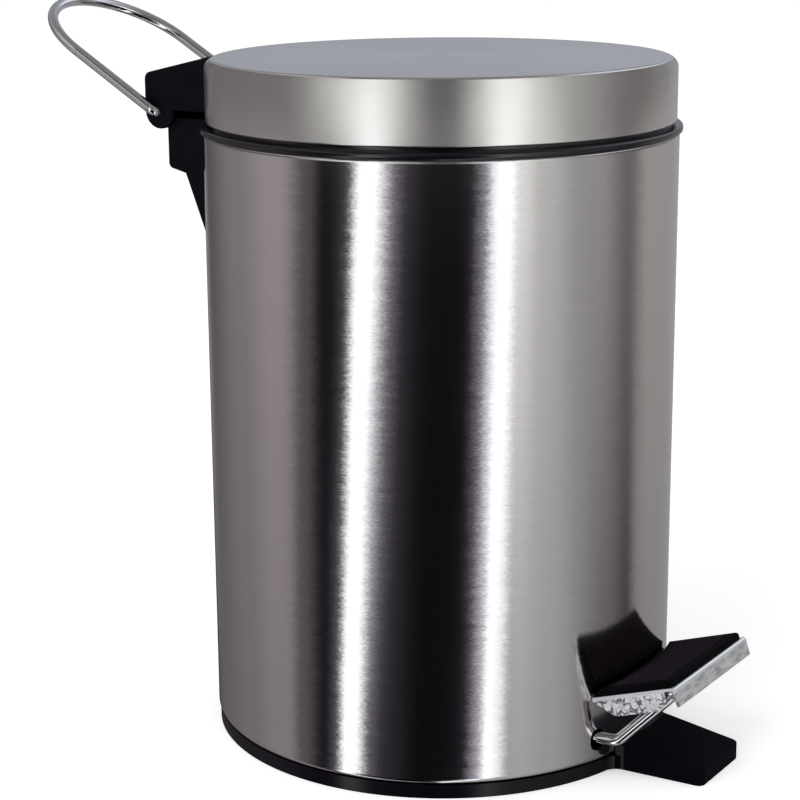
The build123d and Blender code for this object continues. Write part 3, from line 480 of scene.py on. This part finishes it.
def crisp_rim(tree, split, radius, rim):
    """Normal of a lid: a little draft on its skirt, and a rim that turns over within a thin line and reads as crisp."""
    outer, top, fillet = rim
    outward = math_node(tree, "MAXIMUM", math_node(tree, "SUBTRACT", radius, outer - fillet), 0.0)
    upward = math_node(tree, "MAXIMUM", math_node(tree, "SUBTRACT", split.outputs[2], top - fillet), 0.0)
    slope = math_node(tree, "ARCTAN2", upward, outward)
    rise = map_range(tree, slope, *rim_turn, rim_draft, pi / 2, shape="SMOOTHSTEP")
    off_axis = math_node(tree, "MAXIMUM", radius, least_radius)
    level = math_node(tree, "DIVIDE", math_node(tree, "COSINE", rise), off_axis)
    turned = joined(
        tree,
        math_node(tree, "MULTIPLY", split.outputs[0], level),
        math_node(tree, "MULTIPLY", split.outputs[1], level),
        math_node(tree, "SINE", rise),
    )
    reach = length_of(tree, outward, upward)
    skin = map_range(tree, reach, fillet - 0.0004, fillet - 0.0002)
    height = map_range(tree, split.outputs[2], top - fillet - 0.001, top - fillet)
    draft = map_range(tree, split.outputs[2], top - lid_height, top - fillet, foot_draft, rim_draft)
    lean = turned_vector(tree, joined(tree, 0.0, 0.0, draft), "VECTOR", "OBJECT", "WORLD")
    mixed = add_node(tree, "ShaderNodeMix", data_type="VECTOR")
    tree.links.new(math_node(tree, "MULTIPLY", skin, height), mixed.inputs[0])
    tree.links.new(vector_node(tree, "ADD", face_normal(tree), lean), mixed.inputs[4])
    tree.links.new(turned_vector(tree, turned, "NORMAL", "OBJECT", "WORLD"), mixed.inputs[5])
    return mixed.outputs[1]


def combed(tree, split, radius, streak, amount, normal=None):
    """A normal swung from side to side by short streaks, which feathers the edges of what the steel mirrors."""
    swing = math_node(tree, "MULTIPLY", math_node(tree, "SUBTRACT", streak, 0.5), 2 * amount)
    level = math_node(tree, "DIVIDE", swing, math_node(tree, "MAXIMUM", radius, least_radius))
    sideways = joined(
        tree,
        math_node(tree, "MULTIPLY", math_node(tree, "MULTIPLY", split.outputs[1], -1.0), level),
        math_node(tree, "MULTIPLY", split.outputs[0], level),
    )
    swung = turned_vector(tree, sideways, "VECTOR", "OBJECT", "WORLD")
    return vector_node(tree, "NORMALIZE", vector_node(tree, "ADD", normal or face_normal(tree), swung))


def brushed_steel(name, colour, roughness, spread, anisotropy, streak_depth, metal, comb, rim=None):
    """Stainless sheet with grain running round the drum, and round the centre on a flat top."""
    material, tree, shader = new_material(name)
    place, split = object_place(tree)
    radius = length_of(tree, split.outputs[0], split.outputs[1])
    facing = parted(tree, turned_vector(tree, face_normal(tree), "NORMAL", "WORLD", "OBJECT"))
    level_face = map_range(tree, math_node(tree, "ABSOLUTE", facing.outputs[2]), 0.6, 0.8)
    across = add_node(tree, "ShaderNodeMix", data_type="FLOAT")
    tree.links.new(level_face, across.inputs[0])
    tree.links.new(split.outputs[2], across.inputs[2])
    tree.links.new(radius, across.inputs[3])
    grain = place_group(tree, brushed_grain, Across=across.outputs[0], Along=place)
    marks = place_group(tree, handling, Place=place, Smudge_size=11.0, Speck_size=210.0)
    streak = grain.outputs["Streak"]
    tint = mix_colour(
        tree,
        map_range(tree, streak, 0.25, 0.75),
        shade(colour, 1 - streak_depth),
        shade(colour, 1 + streak_depth),
    )
    patched = mix_colour(
        tree,
        map_range(tree, grain.outputs["Patch"], 0.3, 0.7, 0.0, 0.12),
        tint,
        shade(colour, 0.82),
    )
    tree.links.new(patched, shader.inputs["Base Color"])
    rough = math_node(
        tree,
        "ADD",
        map_range(tree, streak, 0.2, 0.8, roughness - spread, roughness + spread),
        math_node(tree, "MULTIPLY", marks.outputs["Smudge"], 0.012),
    )
    tree.links.new(rough, shader.inputs["Roughness"])
    shader.inputs["Metallic"].default_value = metal
    shader.inputs["Anisotropic"].default_value = anisotropy
    shader.inputs["Anisotropic Rotation"].default_value = 0.25
    tangent = add_node(tree, "ShaderNodeTangent", direction_type="RADIAL", axis="Z")
    tree.links.new(tangent.outputs[0], shader.inputs["Tangent"])
    rounded = crisp_rim(tree, split, radius, rim) if rim else None
    short = place_group(
        tree, brushed_grain, Across=across.outputs[0], Along=place, Lines_per_metre=2300.0, Runs_per_metre=620.0
    )
    feathered = combed(tree, split, radius, short.outputs["Streak"], comb, rounded)
    tree.links.new(bump(tree, streak, 0.05, 0.00003, feathered), shader.inputs["Normal"])
    return material


def moulded_plastic(name, colour, roughness, grain_depth, specular, polish):
    """Satin moulding with a fine sparked skin and a painted highlight on its sharp edges, polished where it goes round
    the drum.
    """
    material, tree, shader = new_material(name)
    place, split = object_place(tree)
    marks = place_group(tree, handling, Place=place, Smudge_size=22.0, Speck_size=520.0)
    edges = place_group(tree, painted_edge_highlight, Place=place, Width=0.0007)
    mottled = mix_colour(
        tree,
        map_range(tree, noise(tree, place, 55.0, 4.0, 0.6), 0.3, 0.7),
        shade(colour, 0.82),
        shade(colour, 1.18),
    )
    dusted = mix_colour(
        tree,
        math_node(tree, "MULTIPLY", marks.outputs["Speck"], 0.10),
        mottled,
        shade(colour, 4, 0.01),
    )
    # Painted highlight: sharp edges coloured lighter and made smoother.
    edge_highlighted_colour = mix_colour(
        tree,
        math_node(tree, "MULTIPLY", edges.outputs["Edge"], 0.35),
        dusted,
        shade(colour, 3, 0.006),
    )
    tree.links.new(edge_highlighted_colour, shader.inputs["Base Color"])
    rough = math_node(
        tree,
        "SUBTRACT",
        map_range(tree, marks.outputs["Smudge"], 0.0, 1.0, roughness, roughness + 0.07),
        math_node(tree, "MULTIPLY", edges.outputs["Edge"], 0.08),
    )
    tree.links.new(rough, shader.inputs["Roughness"])
    shader.inputs["Specular IOR Level"].default_value = specular
    if polish:
        round_wall = map_range(tree, split.outputs[1], polish_ends, polish_fades, 0.0, polish)
        tree.links.new(round_wall, shader.inputs["Coat Weight"])
        shader.inputs["Coat Roughness"].default_value = 0.16
        shader.inputs["Coat IOR"].default_value = 1.6
    skin = noise(tree, place, 1900.0, 2.0, 0.5)
    tree.links.new(bump(tree, skin, grain_depth, 0.0002, edges.outputs["Normal"]), shader.inputs["Normal"])
    return material


def plated_metal(name, colour, roughness, streaks, dents):
    """Plated wire or sheet: bright, with drawn streaks, dulled smudges and slight waviness."""
    material, tree, shader = new_material(name)
    place, _ = object_place(tree)
    marks = place_group(tree, handling, Place=place, Smudge_size=70.0, Speck_size=700.0)
    drawn = noise(tree, place, 420.0, 4.0, 0.6)
    tint = mix_colour(
        tree,
        math_node(tree, "MULTIPLY", map_range(tree, drawn, 0.35, 0.7), streaks),
        colour,
        shade(colour, 0.72),
    )
    pits = math_node(tree, "MULTIPLY", marks.outputs["Speck"], 0.25)
    pitted = mix_colour(tree, pits, tint, shade(colour, 0.45))
    tree.links.new(pitted, shader.inputs["Base Color"])
    rough = math_node(
        tree,
        "ADD",
        map_range(tree, marks.outputs["Smudge"], 0.0, 1.0, roughness, roughness * 1.7),
        map_range(tree, drawn, 0.3, 0.7, 0.0, roughness * 0.4),
    )
    tree.links.new(rough, shader.inputs["Roughness"])
    shader.inputs["Metallic"].default_value = 1.0
    wave = noise(tree, place, 110.0, 3.0, 0.55)
    tree.links.new(bump(tree, wave, dents, 0.0006), shader.inputs["Normal"])
    return material


def pressed_chrome(name, colour):
    """Thin chromed sheet: smooth over the front fold, crinkled on the side flanges with painted shade in the creases,
    scuffed by shoes, and painted near black as shade on its strip next to the drum.
    """
    material, tree, shader = new_material(name)
    place, split = object_place(tree)
    marks = place_group(tree, handling, Place=place, Smudge_size=60.0, Speck_size=600.0)
    wobble = feed(tree, add_node(tree, "ShaderNodeTexNoise"), Vector=place, Scale=240.0)
    warped = vector_node(tree, "MULTIPLY_ADD", wobble.outputs["Color"], (0.004, 0.004, 0.004), place)
    crinkle = add_node(tree, "ShaderNodeTexVoronoi", feature="DISTANCE_TO_EDGE")
    feed(tree, crinkle, Vector=warped, Scale=330.0)
    outward = math_node(tree, "ABSOLUTE", split.outputs[0])
    ahead = math_node(tree, "SUBTRACT", split.outputs[1], pedal_front[1])
    aloft = math_node(tree, "SUBTRACT", split.outputs[2], pedal_front[2])
    below = math_node(
        tree,
        "ADD",
        math_node(tree, "MULTIPLY", ahead, sin(pedal_tilt)),
        math_node(tree, "MULTIPLY", aloft, cos(pedal_tilt)),
    )
    behind = math_node(
        tree,
        "SUBTRACT",
        math_node(tree, "MULTIPLY", ahead, cos(pedal_tilt)),
        math_node(tree, "MULTIPLY", aloft, sin(pedal_tilt)),
    )
    side = map_range(tree, outward, pedal_half - 0.0006, pedal_half - 0.0001)
    fold_line = map_range(tree, below, -0.0021, -0.0014, 1.0, 0.0)
    flange = math_node(tree, "MULTIPLY", side, fold_line)
    lip = map_range(tree, behind, 0.0016, 0.0026, 1.0, 0.0)
    crinkle_and_painted_shade = math_node(
        tree,
        "MULTIPLY",
        math_node(
            tree,
            "MULTIPLY",
            map_range(tree, crinkle.outputs["Distance"], 0.03, 0.16, 1.0, 0.0),
            map_range(tree, noise(tree, place, 330.0, 2.0, 0.5), 0.42, 0.58, 0.25, 1.0),
        ),
        flange,
    )
    lines = drawn_noise(tree, place, (60.0, 900.0, 900.0))
    # Painted shade: the crinkles' folds on the flanges are coloured near black, and the same mask bumps them.
    tint = mix_colour(tree, map_range(tree, crinkle_and_painted_shade, 0.10, 0.80, 0.0, 0.9), colour, shade(colour, 0.10))
    scuffed = mix_colour(tree, map_range(tree, lines, 0.45, 0.75, 0.0, 0.25), tint, shade(colour, 0.75))
    away = length_of(tree, split.outputs[0], split.outputs[1])
    worn = math_node(
        tree,
        "MULTIPLY",
        map_range(tree, drawn_noise(tree, place, (110.0, 420.0, 420.0)), 0.42, 0.64, 0.15, 0.70),
        math_node(tree, "MULTIPLY", lip, fold_line),
    )
    dented = mix_colour(tree, worn, scuffed, shade(colour, 0.30))
    # Painted shade: the plate's strip next to the drum is coloured near black and made rougher.
    painted_shade_strip_edge = drum_radius + painted_shade_strip_reach
    at_drum = map_range(tree, away, painted_shade_strip_edge + painted_shade_strip_fade, painted_shade_strip_edge)
    at_top = map_range(tree, below, -0.0017, -0.0014)
    within = map_range(tree, outward, pedal_half - 0.0022, pedal_half - 0.0016, 1.0, 0.0)
    painted_shade_strip = math_node(tree, "MULTIPLY", at_drum, math_node(tree, "MULTIPLY", at_top, within))
    shade_painted_colour = mix_colour(tree, painted_shade_strip, dented, (0.006, 0.005, 0.007))
    tree.links.new(shade_painted_colour, shader.inputs["Base Color"])
    rough = math_node(
        tree,
        "ADD",
        map_range(tree, marks.outputs["Smudge"], 0.0, 1.0, 0.12, 0.22),
        math_node(
            tree,
            "MAXIMUM",
            math_node(tree, "MULTIPLY", flange, 0.14),
            math_node(tree, "MULTIPLY", painted_shade_strip, 0.45),
        ),
    )
    tree.links.new(rough, shader.inputs["Roughness"])
    dulled = math_node(
        tree,
        "MAXIMUM",
        math_node(tree, "MULTIPLY", side, 0.62),
        math_node(tree, "MULTIPLY", lip, 0.30),
    )
    tree.links.new(math_node(tree, "SUBTRACT", 1.0, dulled), shader.inputs["Metallic"])
    tree.links.new(bump(tree, crinkle_and_painted_shade, 0.9, 0.0010), shader.inputs["Normal"])
    return material


def pad_rubber_finish(name, colour):
    """Matt rubber, greyed a little by dust in patches."""
    material, tree, shader = new_material(name)
    place, _ = object_place(tree)
    marks = place_group(tree, handling, Place=place, Smudge_size=45.0, Speck_size=420.0)
    grain = noise(tree, place, 1400.0, 3.0, 0.6)
    patchy = map_range(tree, grain, 0.3, 0.7)
    tint = mix_colour(tree, patchy, shade(colour, 0.75), shade(colour, 1.3))
    dusty = mix_colour(
        tree,
        math_node(tree, "MULTIPLY", marks.outputs["Smudge"], 0.10),
        tint,
        shade(colour, 2.4, 0.008),
    )
    tree.links.new(dusty, shader.inputs["Base Color"])
    tree.links.new(map_range(tree, grain, 0.2, 0.8, 0.55, 0.72), shader.inputs["Roughness"])
    shader.inputs["Specular IOR Level"].default_value = 0.015
    tree.links.new(bump(tree, grain, 0.12, 0.0002), shader.inputs["Normal"])
    return material


lid_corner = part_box("lid_shell")[1]
lid_rim = (lid_corner[0], lid_corner[2], lid_fillet)

black = (0.0046, 0.0030, 0.0064)
bright = (0.80, 0.77, 0.80)

finishes = {
    "drum_steel": brushed_steel(
        "drum_steel",
        (0.622, 0.572, 0.592),
        roughness=0.10,
        spread=0.012,
        anisotropy=0.7,
        streak_depth=0.03,
        metal=1.0,
        comb=0.042,
    ),
    # The lid's steel is coloured lighter than the drum's and keeps a small diffuse share (metal below 1): painted light
    # that lifts the skirt's dark reflections.
    "lid_steel": brushed_steel(
        "lid_steel",
        (0.70, 0.655, 0.655),
        roughness=0.22,
        spread=0.03,
        anisotropy=0.20,
        streak_depth=0.04,
        metal=0.95,
        comb=0.022,
        rim=lid_rim,
    ),
    "pedal_chrome": pressed_chrome("pedal_chrome", (0.93, 0.94, 0.99)),
    "pad_rubber": pad_rubber_finish("pad_rubber", (0.0040, 0.0032, 0.0046)),
    # The studs' rubber is coloured lighter than the pad's: a painted sheen on the studs.
    "tread_rubber_painted_sheen": pad_rubber_finish("tread_rubber_painted_sheen", (0.0200, 0.0150, 0.0212)),
}

# Mouldings: colour, roughness, depth of the skin's grain, specular level, polish round the drum
for name, *look in (
    ("black_plastic", black, 0.40, 0.10, 0.07, 0.0),
    ("rim_plastic", black, 0.40, 0.06, 0.012, 0.75),
    ("base_plastic", black, 0.40, 0.08, 0.012, 0.30),
    ("bucket_plastic", (0.022, 0.022, 0.024), 0.52, 0.14, 0.35, 0.0),
):
    finishes[name] = moulded_plastic(name, *look)

# Plated wire and strip: colour, roughness, strength of the drawn streaks, depth of the dents
for name, *look in (
    ("handle_chrome", bright, 0.06, 0.25, 0.06),
    ("lever_wire", bright, 0.06, 0.30, 0.08),
    ("link_steel", (0.45, 0.45, 0.46), 0.32, 0.5, 0.06),
    ("screw_steel", (0.50, 0.50, 0.51), 0.24, 0.4, 0.05),
    ("bail_wire", (0.60, 0.60, 0.61), 0.16, 0.4, 0.08),
):
    finishes[name] = plated_metal(name, *look)

for part in frame["record"]["subparts"]:
    clear_slots(nodes[part["node"]], finishes[part["material_slot"]])
clear_slots(nodes["top_ring"], finishes["rim_plastic"])
clear_slots(nodes["base"], finishes["base_plastic"])


# Pieces that repeat, each made by a tree of Geometry Nodes and kept as a plain mesh


def new_maker(name, sizes):
    """A Geometry Nodes tree with named sizes and a finish; returns it with its ends and its input identifiers."""
    tree = bpy.data.node_groups.new(name, "GeometryNodeTree")
    tree.interface.new_socket("Geometry", in_out="INPUT", socket_type="NodeSocketGeometry")
    known = {}
    for size in sizes:
        known[size] = tree.interface.new_socket(size, in_out="INPUT", socket_type="NodeSocketFloat").identifier
    known["Finish"] = tree.interface.new_socket("Finish", in_out="INPUT", socket_type="NodeSocketMaterial").identifier
    tree.interface.new_socket("Geometry", in_out="OUTPUT", socket_type="NodeSocketGeometry")
    return tree, tree.nodes.new("NodeGroupInput"), tree.nodes.new("NodeGroupOutput"), known


def moved(tree, geometry, **change):
    """Geometry shifted, turned or scaled; returns its output."""
    return feed(tree, add_node(tree, "GeometryNodeTransform"), Geometry=geometry, **change).outputs[0]


def finish_maker(tree, source, sink, instances):
    """Ends a tree: real geometry with its finish."""
    real = feed(tree, add_node(tree, "GeometryNodeRealizeInstances"), Geometry=instances)
    dressed = feed(
        tree,
        add_node(tree, "GeometryNodeSetMaterial"),
        Geometry=real.outputs[0],
        Material=source.outputs["Finish"],
    )
    tree.links.new(dressed.outputs[0], sink.inputs[0])


def made_piece(name, seed_mesh, tree, known, sizes, finish):
    """Runs a tree on a mesh of places and keeps the result as a plain mesh at the origin."""
    seed = bpy.data.objects.new(name + "_places", seed_mesh)
    bpy.context.scene.collection.objects.link(seed)
    modifier = seed.modifiers.new("maker", "NODES")
    modifier.node_group = tree
    for size, value in sizes.items():
        modifier[known[size]] = value
    modifier[known["Finish"]] = finish
    seen = seed.evaluated_get(bpy.context.evaluated_depsgraph_get())
    mesh = bpy.data.meshes.new_from_object(seen)
    mesh.name = name
    seed.modifiers.clear()
    bpy.data.objects.remove(seed)
    piece = bpy.data.objects.new(name, mesh)
    bpy.context.scene.collection.objects.link(piece)
    return piece


def tread_maker():
    """Rows of small flat-topped studs over the pad's middle, leaving a plain border and the drum clear."""
    tree, source, sink, known = new_maker(
        "pad_tread",
        ["Width", "Depth", "Pitch", "Stud width", "Stud height", "Clear radius"],
    )
    size = source.outputs
    across = math_node(tree, "FLOOR", math_node(tree, "DIVIDE", size["Width"], size["Pitch"]))
    along = math_node(tree, "FLOOR", math_node(tree, "DIVIDE", size["Depth"], size["Pitch"]))
    grid = feed(
        tree,
        add_node(tree, "GeometryNodeMeshGrid"),
        Size_X=math_node(tree, "MULTIPLY", across, size["Pitch"]),
        Size_Y=math_node(tree, "MULTIPLY", along, size["Pitch"]),
        Vertices_X=math_node(tree, "ADD", across, 1.0),
        Vertices_Y=math_node(tree, "ADD", along, 1.0),
    )
    ahead = joined(tree, 0.0, math_node(tree, "DIVIDE", size["Depth"], 2.0))
    shifted = moved(tree, grid.outputs["Mesh"], Translation=ahead)
    tilted = moved(tree, shifted, Translation=tread_corner, Rotation=(-pedal_tilt, 0.0, 0.0))
    position = add_node(tree, "GeometryNodeInputPosition").outputs[0]
    level = vector_node(tree, "MULTIPLY", position, (1.0, 1.0, 0.0))
    away = fill(tree, add_node(tree, "ShaderNodeVectorMath", operation="LENGTH"), level)
    near = add_node(tree, "FunctionNodeCompare", data_type="FLOAT", operation="LESS_THAN")
    fill(tree, near, away.outputs["Value"], size["Clear radius"])
    kept = feed(
        tree,
        add_node(tree, "GeometryNodeDeleteGeometry", domain="POINT"),
        Geometry=tilted,
        Selection=near.outputs[0],
    )
    foot = math_node(tree, "MULTIPLY", size["Stud width"], half_diagonal)
    stud = feed(
        tree,
        add_node(tree, "GeometryNodeMeshCone", fill_type="NGON"),
        Vertices=4,
        Radius_Top=math_node(tree, "MULTIPLY", foot, stud_taper),
        Radius_Bottom=foot,
        Depth=size["Stud height"],
    )
    squared = moved(tree, stud.outputs["Mesh"], Rotation=(0.0, 0.0, pi / 4))
    studs = feed(
        tree,
        add_node(tree, "GeometryNodeInstanceOnPoints"),
        Points=kept.outputs[0],
        Instance=squared,
        Rotation=(-pedal_tilt, 0.0, 0.0),
    )
    finish_maker(tree, source, sink, studs.outputs[0])
    return tree, known


def screw_maker():
    """Round-headed screws with a cross recess, one on each place, their heads facing along the attribute."""
    tree, source, sink, known = new_maker(
        "cross_head_screws",
        ["Head radius", "Head height", "Shank radius", "Shank length"],
    )
    size = source.outputs
    ball = feed(
        tree,
        add_node(tree, "GeometryNodeMeshUVSphere"),
        Segments=24,
        Rings=14,
        Radius=size["Head radius"],
    )
    tall = size["Head height"]
    squash = joined(tree, 1.0, 1.0, math_node(tree, "DIVIDE", tall, size["Head radius"]))
    dome = moved(tree, ball.outputs["Mesh"], Scale=squash)
    cuts = []
    wide = math_node(tree, "MULTIPLY", size["Head radius"], 3.0)
    long = math_node(tree, "MULTIPLY", size["Head radius"], 1.15)
    slim = math_node(tree, "MULTIPLY", size["Head radius"], 0.26)
    lower_half = math_node(tree, "MULTIPLY", size["Head radius"], -1.5)
    recess = math_node(tree, "MULTIPLY", tall, 1.02)
    for sides, height in (((wide, wide, wide), lower_half), ((long, slim, tall), recess), ((slim, long, tall), recess)):
        block = feed(tree, add_node(tree, "GeometryNodeMeshCube"), Size=joined(tree, *sides))
        cuts.append(moved(tree, block.outputs["Mesh"], Translation=joined(tree, 0.0, 0.0, height)))
    head = add_node(tree, "GeometryNodeMeshBoolean", operation="DIFFERENCE", solver="EXACT")
    tree.links.new(dome, head.inputs["Mesh 1"])
    for cut in cuts:
        tree.links.new(cut, head.inputs["Mesh 2"])
    shank = feed(
        tree,
        add_node(tree, "GeometryNodeMeshCylinder"),
        Vertices=20,
        Radius=size["Shank radius"],
        Depth=size["Shank length"],
    )
    sunk = joined(tree, 0.0, 0.0, math_node(tree, "MULTIPLY", size["Shank length"], -0.5))
    lowered = moved(tree, shank.outputs["Mesh"], Translation=sunk)
    whole = add_node(tree, "GeometryNodeJoinGeometry")
    tree.links.new(head.outputs["Mesh"], whole.inputs[0])
    tree.links.new(lowered, whole.inputs[0])
    facing = add_node(tree, "GeometryNodeInputNamedAttribute", data_type="FLOAT_VECTOR")
    facing.inputs["Name"].default_value = "facing"
    turned = add_node(tree, "FunctionNodeAlignRotationToVector", axis="Z")
    tree.links.new(facing.outputs["Attribute"], turned.inputs["Vector"])
    screws = feed(
        tree,
        add_node(tree, "GeometryNodeInstanceOnPoints"),
        Points=source.outputs["Geometry"],
        Instance=whole.outputs[0],
        Rotation=turned.outputs[0],
    )
    finish_maker(tree, source, sink, screws.outputs[0])
    return tree, known


def places_mesh(name, places):
    """Loose points, each with the direction that it faces."""
    mesh = bpy.data.meshes.new(name)
    mesh.from_pydata([place for place, _ in places], [], [])
    facing = mesh.attributes.new("facing", "FLOAT_VECTOR", "POINT")
    for index, (_, direction) in enumerate(places):
        facing.data[index].vector = direction
    return mesh


def wall_places(turn, radius, levels):
    """Screw places on the inside of a round wall behind, both sides of the middle, heads facing inwards."""
    return [
        (
            (side * radius * sin(turn), radius * cos(turn), level),
            (-side * sin(turn), -cos(turn), 0.0),
        )
        for level in levels
        for side in (-1, 1)
    ]


def soften(piece, angle):
    """Smooth shading with the sharp edges kept."""
    piece.data.shade_smooth()
    piece.data.set_sharp_from_angle(angle=angle)


tread_tree, tread_inputs = tread_maker()
pad_tread = made_piece(
    "pad_tread",
    bpy.data.meshes.new("pad_tread_places"),
    tread_tree,
    tread_inputs,
    {
        "Width": 2 * (pedal_half - pad_border),
        "Depth": tread_depth,
        "Pitch": tread_pitch,
        "Stud width": stud_width,
        "Stud height": stud_height,
        "Clear radius": drum_radius + drum_clearance,
    },
    finishes["tread_rubber_painted_sheen"],
)
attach(pad_tread, "pedal")

screw_tree, screw_inputs = screw_maker()
bracket_screw = {"Head radius": 0.0034, "Head height": 0.0020, "Shank radius": 0.0016, "Shank length": 0.0080}
cap_screw = {"Head radius": 0.0023, "Head height": 0.0016, "Shank radius": 0.0012, "Shank length": 0.0160}
cap_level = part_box("axle_caps")[1][2]
screw_sets = [
    (
        "lid_screws",
        "lid",
        "lid_bracket_screws",
        bracket_screw,
        wall_places(lid_screw_bearing, lid_screw_seat, lid_screw_levels),
    ),
    (
        "drum_screws",
        "bin",
        "body_bracket_screws",
        bracket_screw,
        wall_places(drum_screw_bearing, drum_screw_seat, drum_screw_levels),
    ),
    (
        "cap_screws",
        "bin",
        "axle_cap_screws",
        cap_screw,
        [((x, axle_line + y, cap_level), (0.0, 0.0, 1.0)) for x in cap_middles for y in cap_screw_offsets],
    ),
]
for name, body, node, sizes, places in screw_sets:
    points = places_mesh(name + "_points", places)
    screws = made_piece(name, points, screw_tree, screw_inputs, sizes, finishes["screw_steel"])
    soften(screws, sharp_angle)
    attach(screws, body)
    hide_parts(node)


# Room: pale floor, light for the matt faces, and the studio that the steel mirrors


def pale_floor():
    """A wide round floor, hidden from mirror rays so that the steel shows the studio down to its foot."""
    mesh = bpy.data.meshes.new("floor")
    turns = [2 * pi * step / floor_sides for step in range(floor_sides)]
    ring = [(floor_radius * cos(turn), floor_radius * sin(turn), 0.0) for turn in turns]
    mesh.from_pydata(ring, [], [list(range(floor_sides))])
    floor = bpy.data.objects.new("floor", mesh)
    bpy.context.scene.collection.objects.link(floor)
    material, tree, shader = new_material("floor_paper")
    shader.inputs["Base Color"].default_value = (0.97, 0.97, 0.97, 1)
    shader.inputs["Roughness"].default_value = 0.9
    shader.inputs["Specular IOR Level"].default_value = 0.0
    shader.inputs["Emission Color"].default_value = (1, 1, 1, 1)
    path = add_node(tree, "ShaderNodeLightPath")
    seen = math_node(tree, "MAXIMUM", path.outputs["Is Camera Ray"], path.outputs["Is Transmission Ray"])
    tree.links.new(math_node(tree, "MULTIPLY", seen, floor_glow), shader.inputs["Emission Strength"])
    clear_slots(floor, material)
    floor.visible_glossy = False


def band_ramp(tree, label, bands, bearing):
    """Bands of light round the room as a ramp over the bearing; returns its colour, with the brightest level as 1."""
    turned = math_node(tree, "WRAP", math_node(tree, "DIVIDE", bearing, 2 * pi), 0.5, -0.5)
    ramp = add_node(tree, "ShaderNodeValToRGB", label)
    ramp.color_ramp.interpolation = "EASE"
    stops = ramp.color_ramp.elements
    while len(stops) > 1:
        stops.remove(stops[-1])
    for index, (_, angle, level, tint) in enumerate(bands):
        place = angle / 360 + 0.5
        stop = stops[0] if index == 0 else stops.new(place)
        stop.position = place
        stop.color = (*(level * part / studio_peak for part in tint), 1)
    tree.links.new(math_node(tree, "ADD", turned, 0.5), ramp.inputs["Fac"])
    return ramp.outputs["Color"]


def studio_world():
    """Even light for matt faces, a white backdrop, and bands of card and strip light for mirror rays."""
    world = bpy.data.worlds.new("studio")
    world.use_nodes = True
    bpy.context.scene.world = world
    tree = world.node_tree
    tree.nodes.clear()
    direction = add_node(tree, "ShaderNodeTexCoord").outputs["Generated"]
    split = parted(tree, direction)
    bearing = math_node(tree, "ARCTAN2", split.outputs[1], split.outputs[0])
    camera_bearing = pi + camera_turn
    offset = math_node(tree, "SUBTRACT", bearing, camera_bearing)
    swing = math_node(tree, "COSINE", math_node(tree, "ADD", offset, lean_side))
    depth = math_node(tree, "ADD", split.outputs[2], lean_level)
    lean = math_node(tree, "MULTIPLY", math_node(tree, "MULTIPLY", swing, depth), studio_lean)
    upright = math_node(tree, "SUBTRACT", offset, lean)
    top_bands = [(name, angle, level, tint) for name, angle, level, _, _, tint in drum_bands]
    foot_bands = [(name, angle, level, tint) for name, _, _, angle, level, tint in drum_bands]
    top = band_ramp(tree, "bands at the drum's top", top_bands, upright)
    foot = band_ramp(tree, "bands at the drum's foot", foot_bands, upright)
    lid_foot = band_ramp(tree, "bands at the lid's foot", lid_foot_bands, offset)
    lid_top = band_ramp(tree, "bands at the lid", lid_bands, offset)
    sunk = map_range(tree, split.outputs[2], ray_at_lid_top, ray_at_lid_foot)
    at_lid = mix_colour(tree, sunk, lid_top, lid_foot)
    fallen = map_range(tree, split.outputs[2], ray_at_top, ray_at_foot)
    risen = map_range(tree, split.outputs[2], ray_under_lid, ray_at_lid)
    above = band_ramp(tree, "bands over the lid", upper_bands, offset)
    raised = map_range(tree, split.outputs[2], ray_over_lid, ray_at_windows)
    low = mix_colour(tree, risen, mix_colour(tree, fallen, top, foot), at_lid)
    bands = mix_colour(tree, raised, low, above)
    overhead = map_range(tree, split.outputs[2], ray_under_ceiling, ray_at_ceiling)
    mirrored = mix_colour(tree, overhead, scaled(tree, bands, studio_peak), 3 * (overhead_level,))
    path = add_node(tree, "ShaderNodeLightPath")
    seen = math_node(tree, "MAXIMUM", path.outputs["Is Camera Ray"], path.outputs["Is Transmission Ray"])
    lit = mix_colour(tree, path.outputs["Is Glossy Ray"], 3 * (fill_level,), mirrored)
    shown = mix_colour(tree, seen, lit, 3 * (backdrop_level,))
    background = add_node(tree, "ShaderNodeBackground")
    tree.links.new(shown, background.inputs["Color"])
    output = add_node(tree, "ShaderNodeOutputWorld")
    tree.links.new(background.outputs[0], output.inputs["Surface"])


def key_light():
    """A large soft lamp above the camera's left, for form on the matt pieces."""
    lamp = bpy.data.lights.new("key", "AREA")
    lamp.shape = "RECTANGLE"
    lamp.size, lamp.size_y = key_size
    lamp.energy = key_power
    holder = bpy.data.objects.new("key", lamp)
    bpy.context.scene.collection.objects.link(holder)
    holder.location = key_place
    holder.rotation_euler = (Vector(key_aim) - holder.location).to_track_quat("-Z", "Y").to_euler()
    holder.visible_glossy = False


def stand_camera():
    """The camera where the photograph was taken from."""

    def turned(x, y, z):
        s, c = sin(camera_turn), cos(camera_turn)
        return Vector((s * x + c * y, -c * x + s * y, z))

    ahead = turned(
        sin(camera_yaw) * cos(camera_pitch),
        cos(camera_yaw) * cos(camera_pitch),
        -sin(camera_pitch),
    )
    right = turned(cos(camera_yaw), -sin(camera_yaw), 0)
    up = right.cross(ahead)
    side = cos(camera_roll) * right + sin(camera_roll) * up
    over = -sin(camera_roll) * right + cos(camera_roll) * up
    lens = bpy.data.cameras.new("camera")
    lens.lens = camera_lens
    lens.sensor_width = camera_sensor
    camera = bpy.data.objects.new("camera", lens)
    bpy.context.scene.collection.objects.link(camera)
    stand = Matrix((side, over, -ahead)).transposed().to_4x4()
    stand.translation = turned(0, -camera_distance, camera_height)
    camera.matrix_world = stand
    bpy.context.scene.camera = camera


pale_floor()
studio_world()
key_light()
stand_camera()
bpy.context.scene.view_settings.view_transform = "Standard"
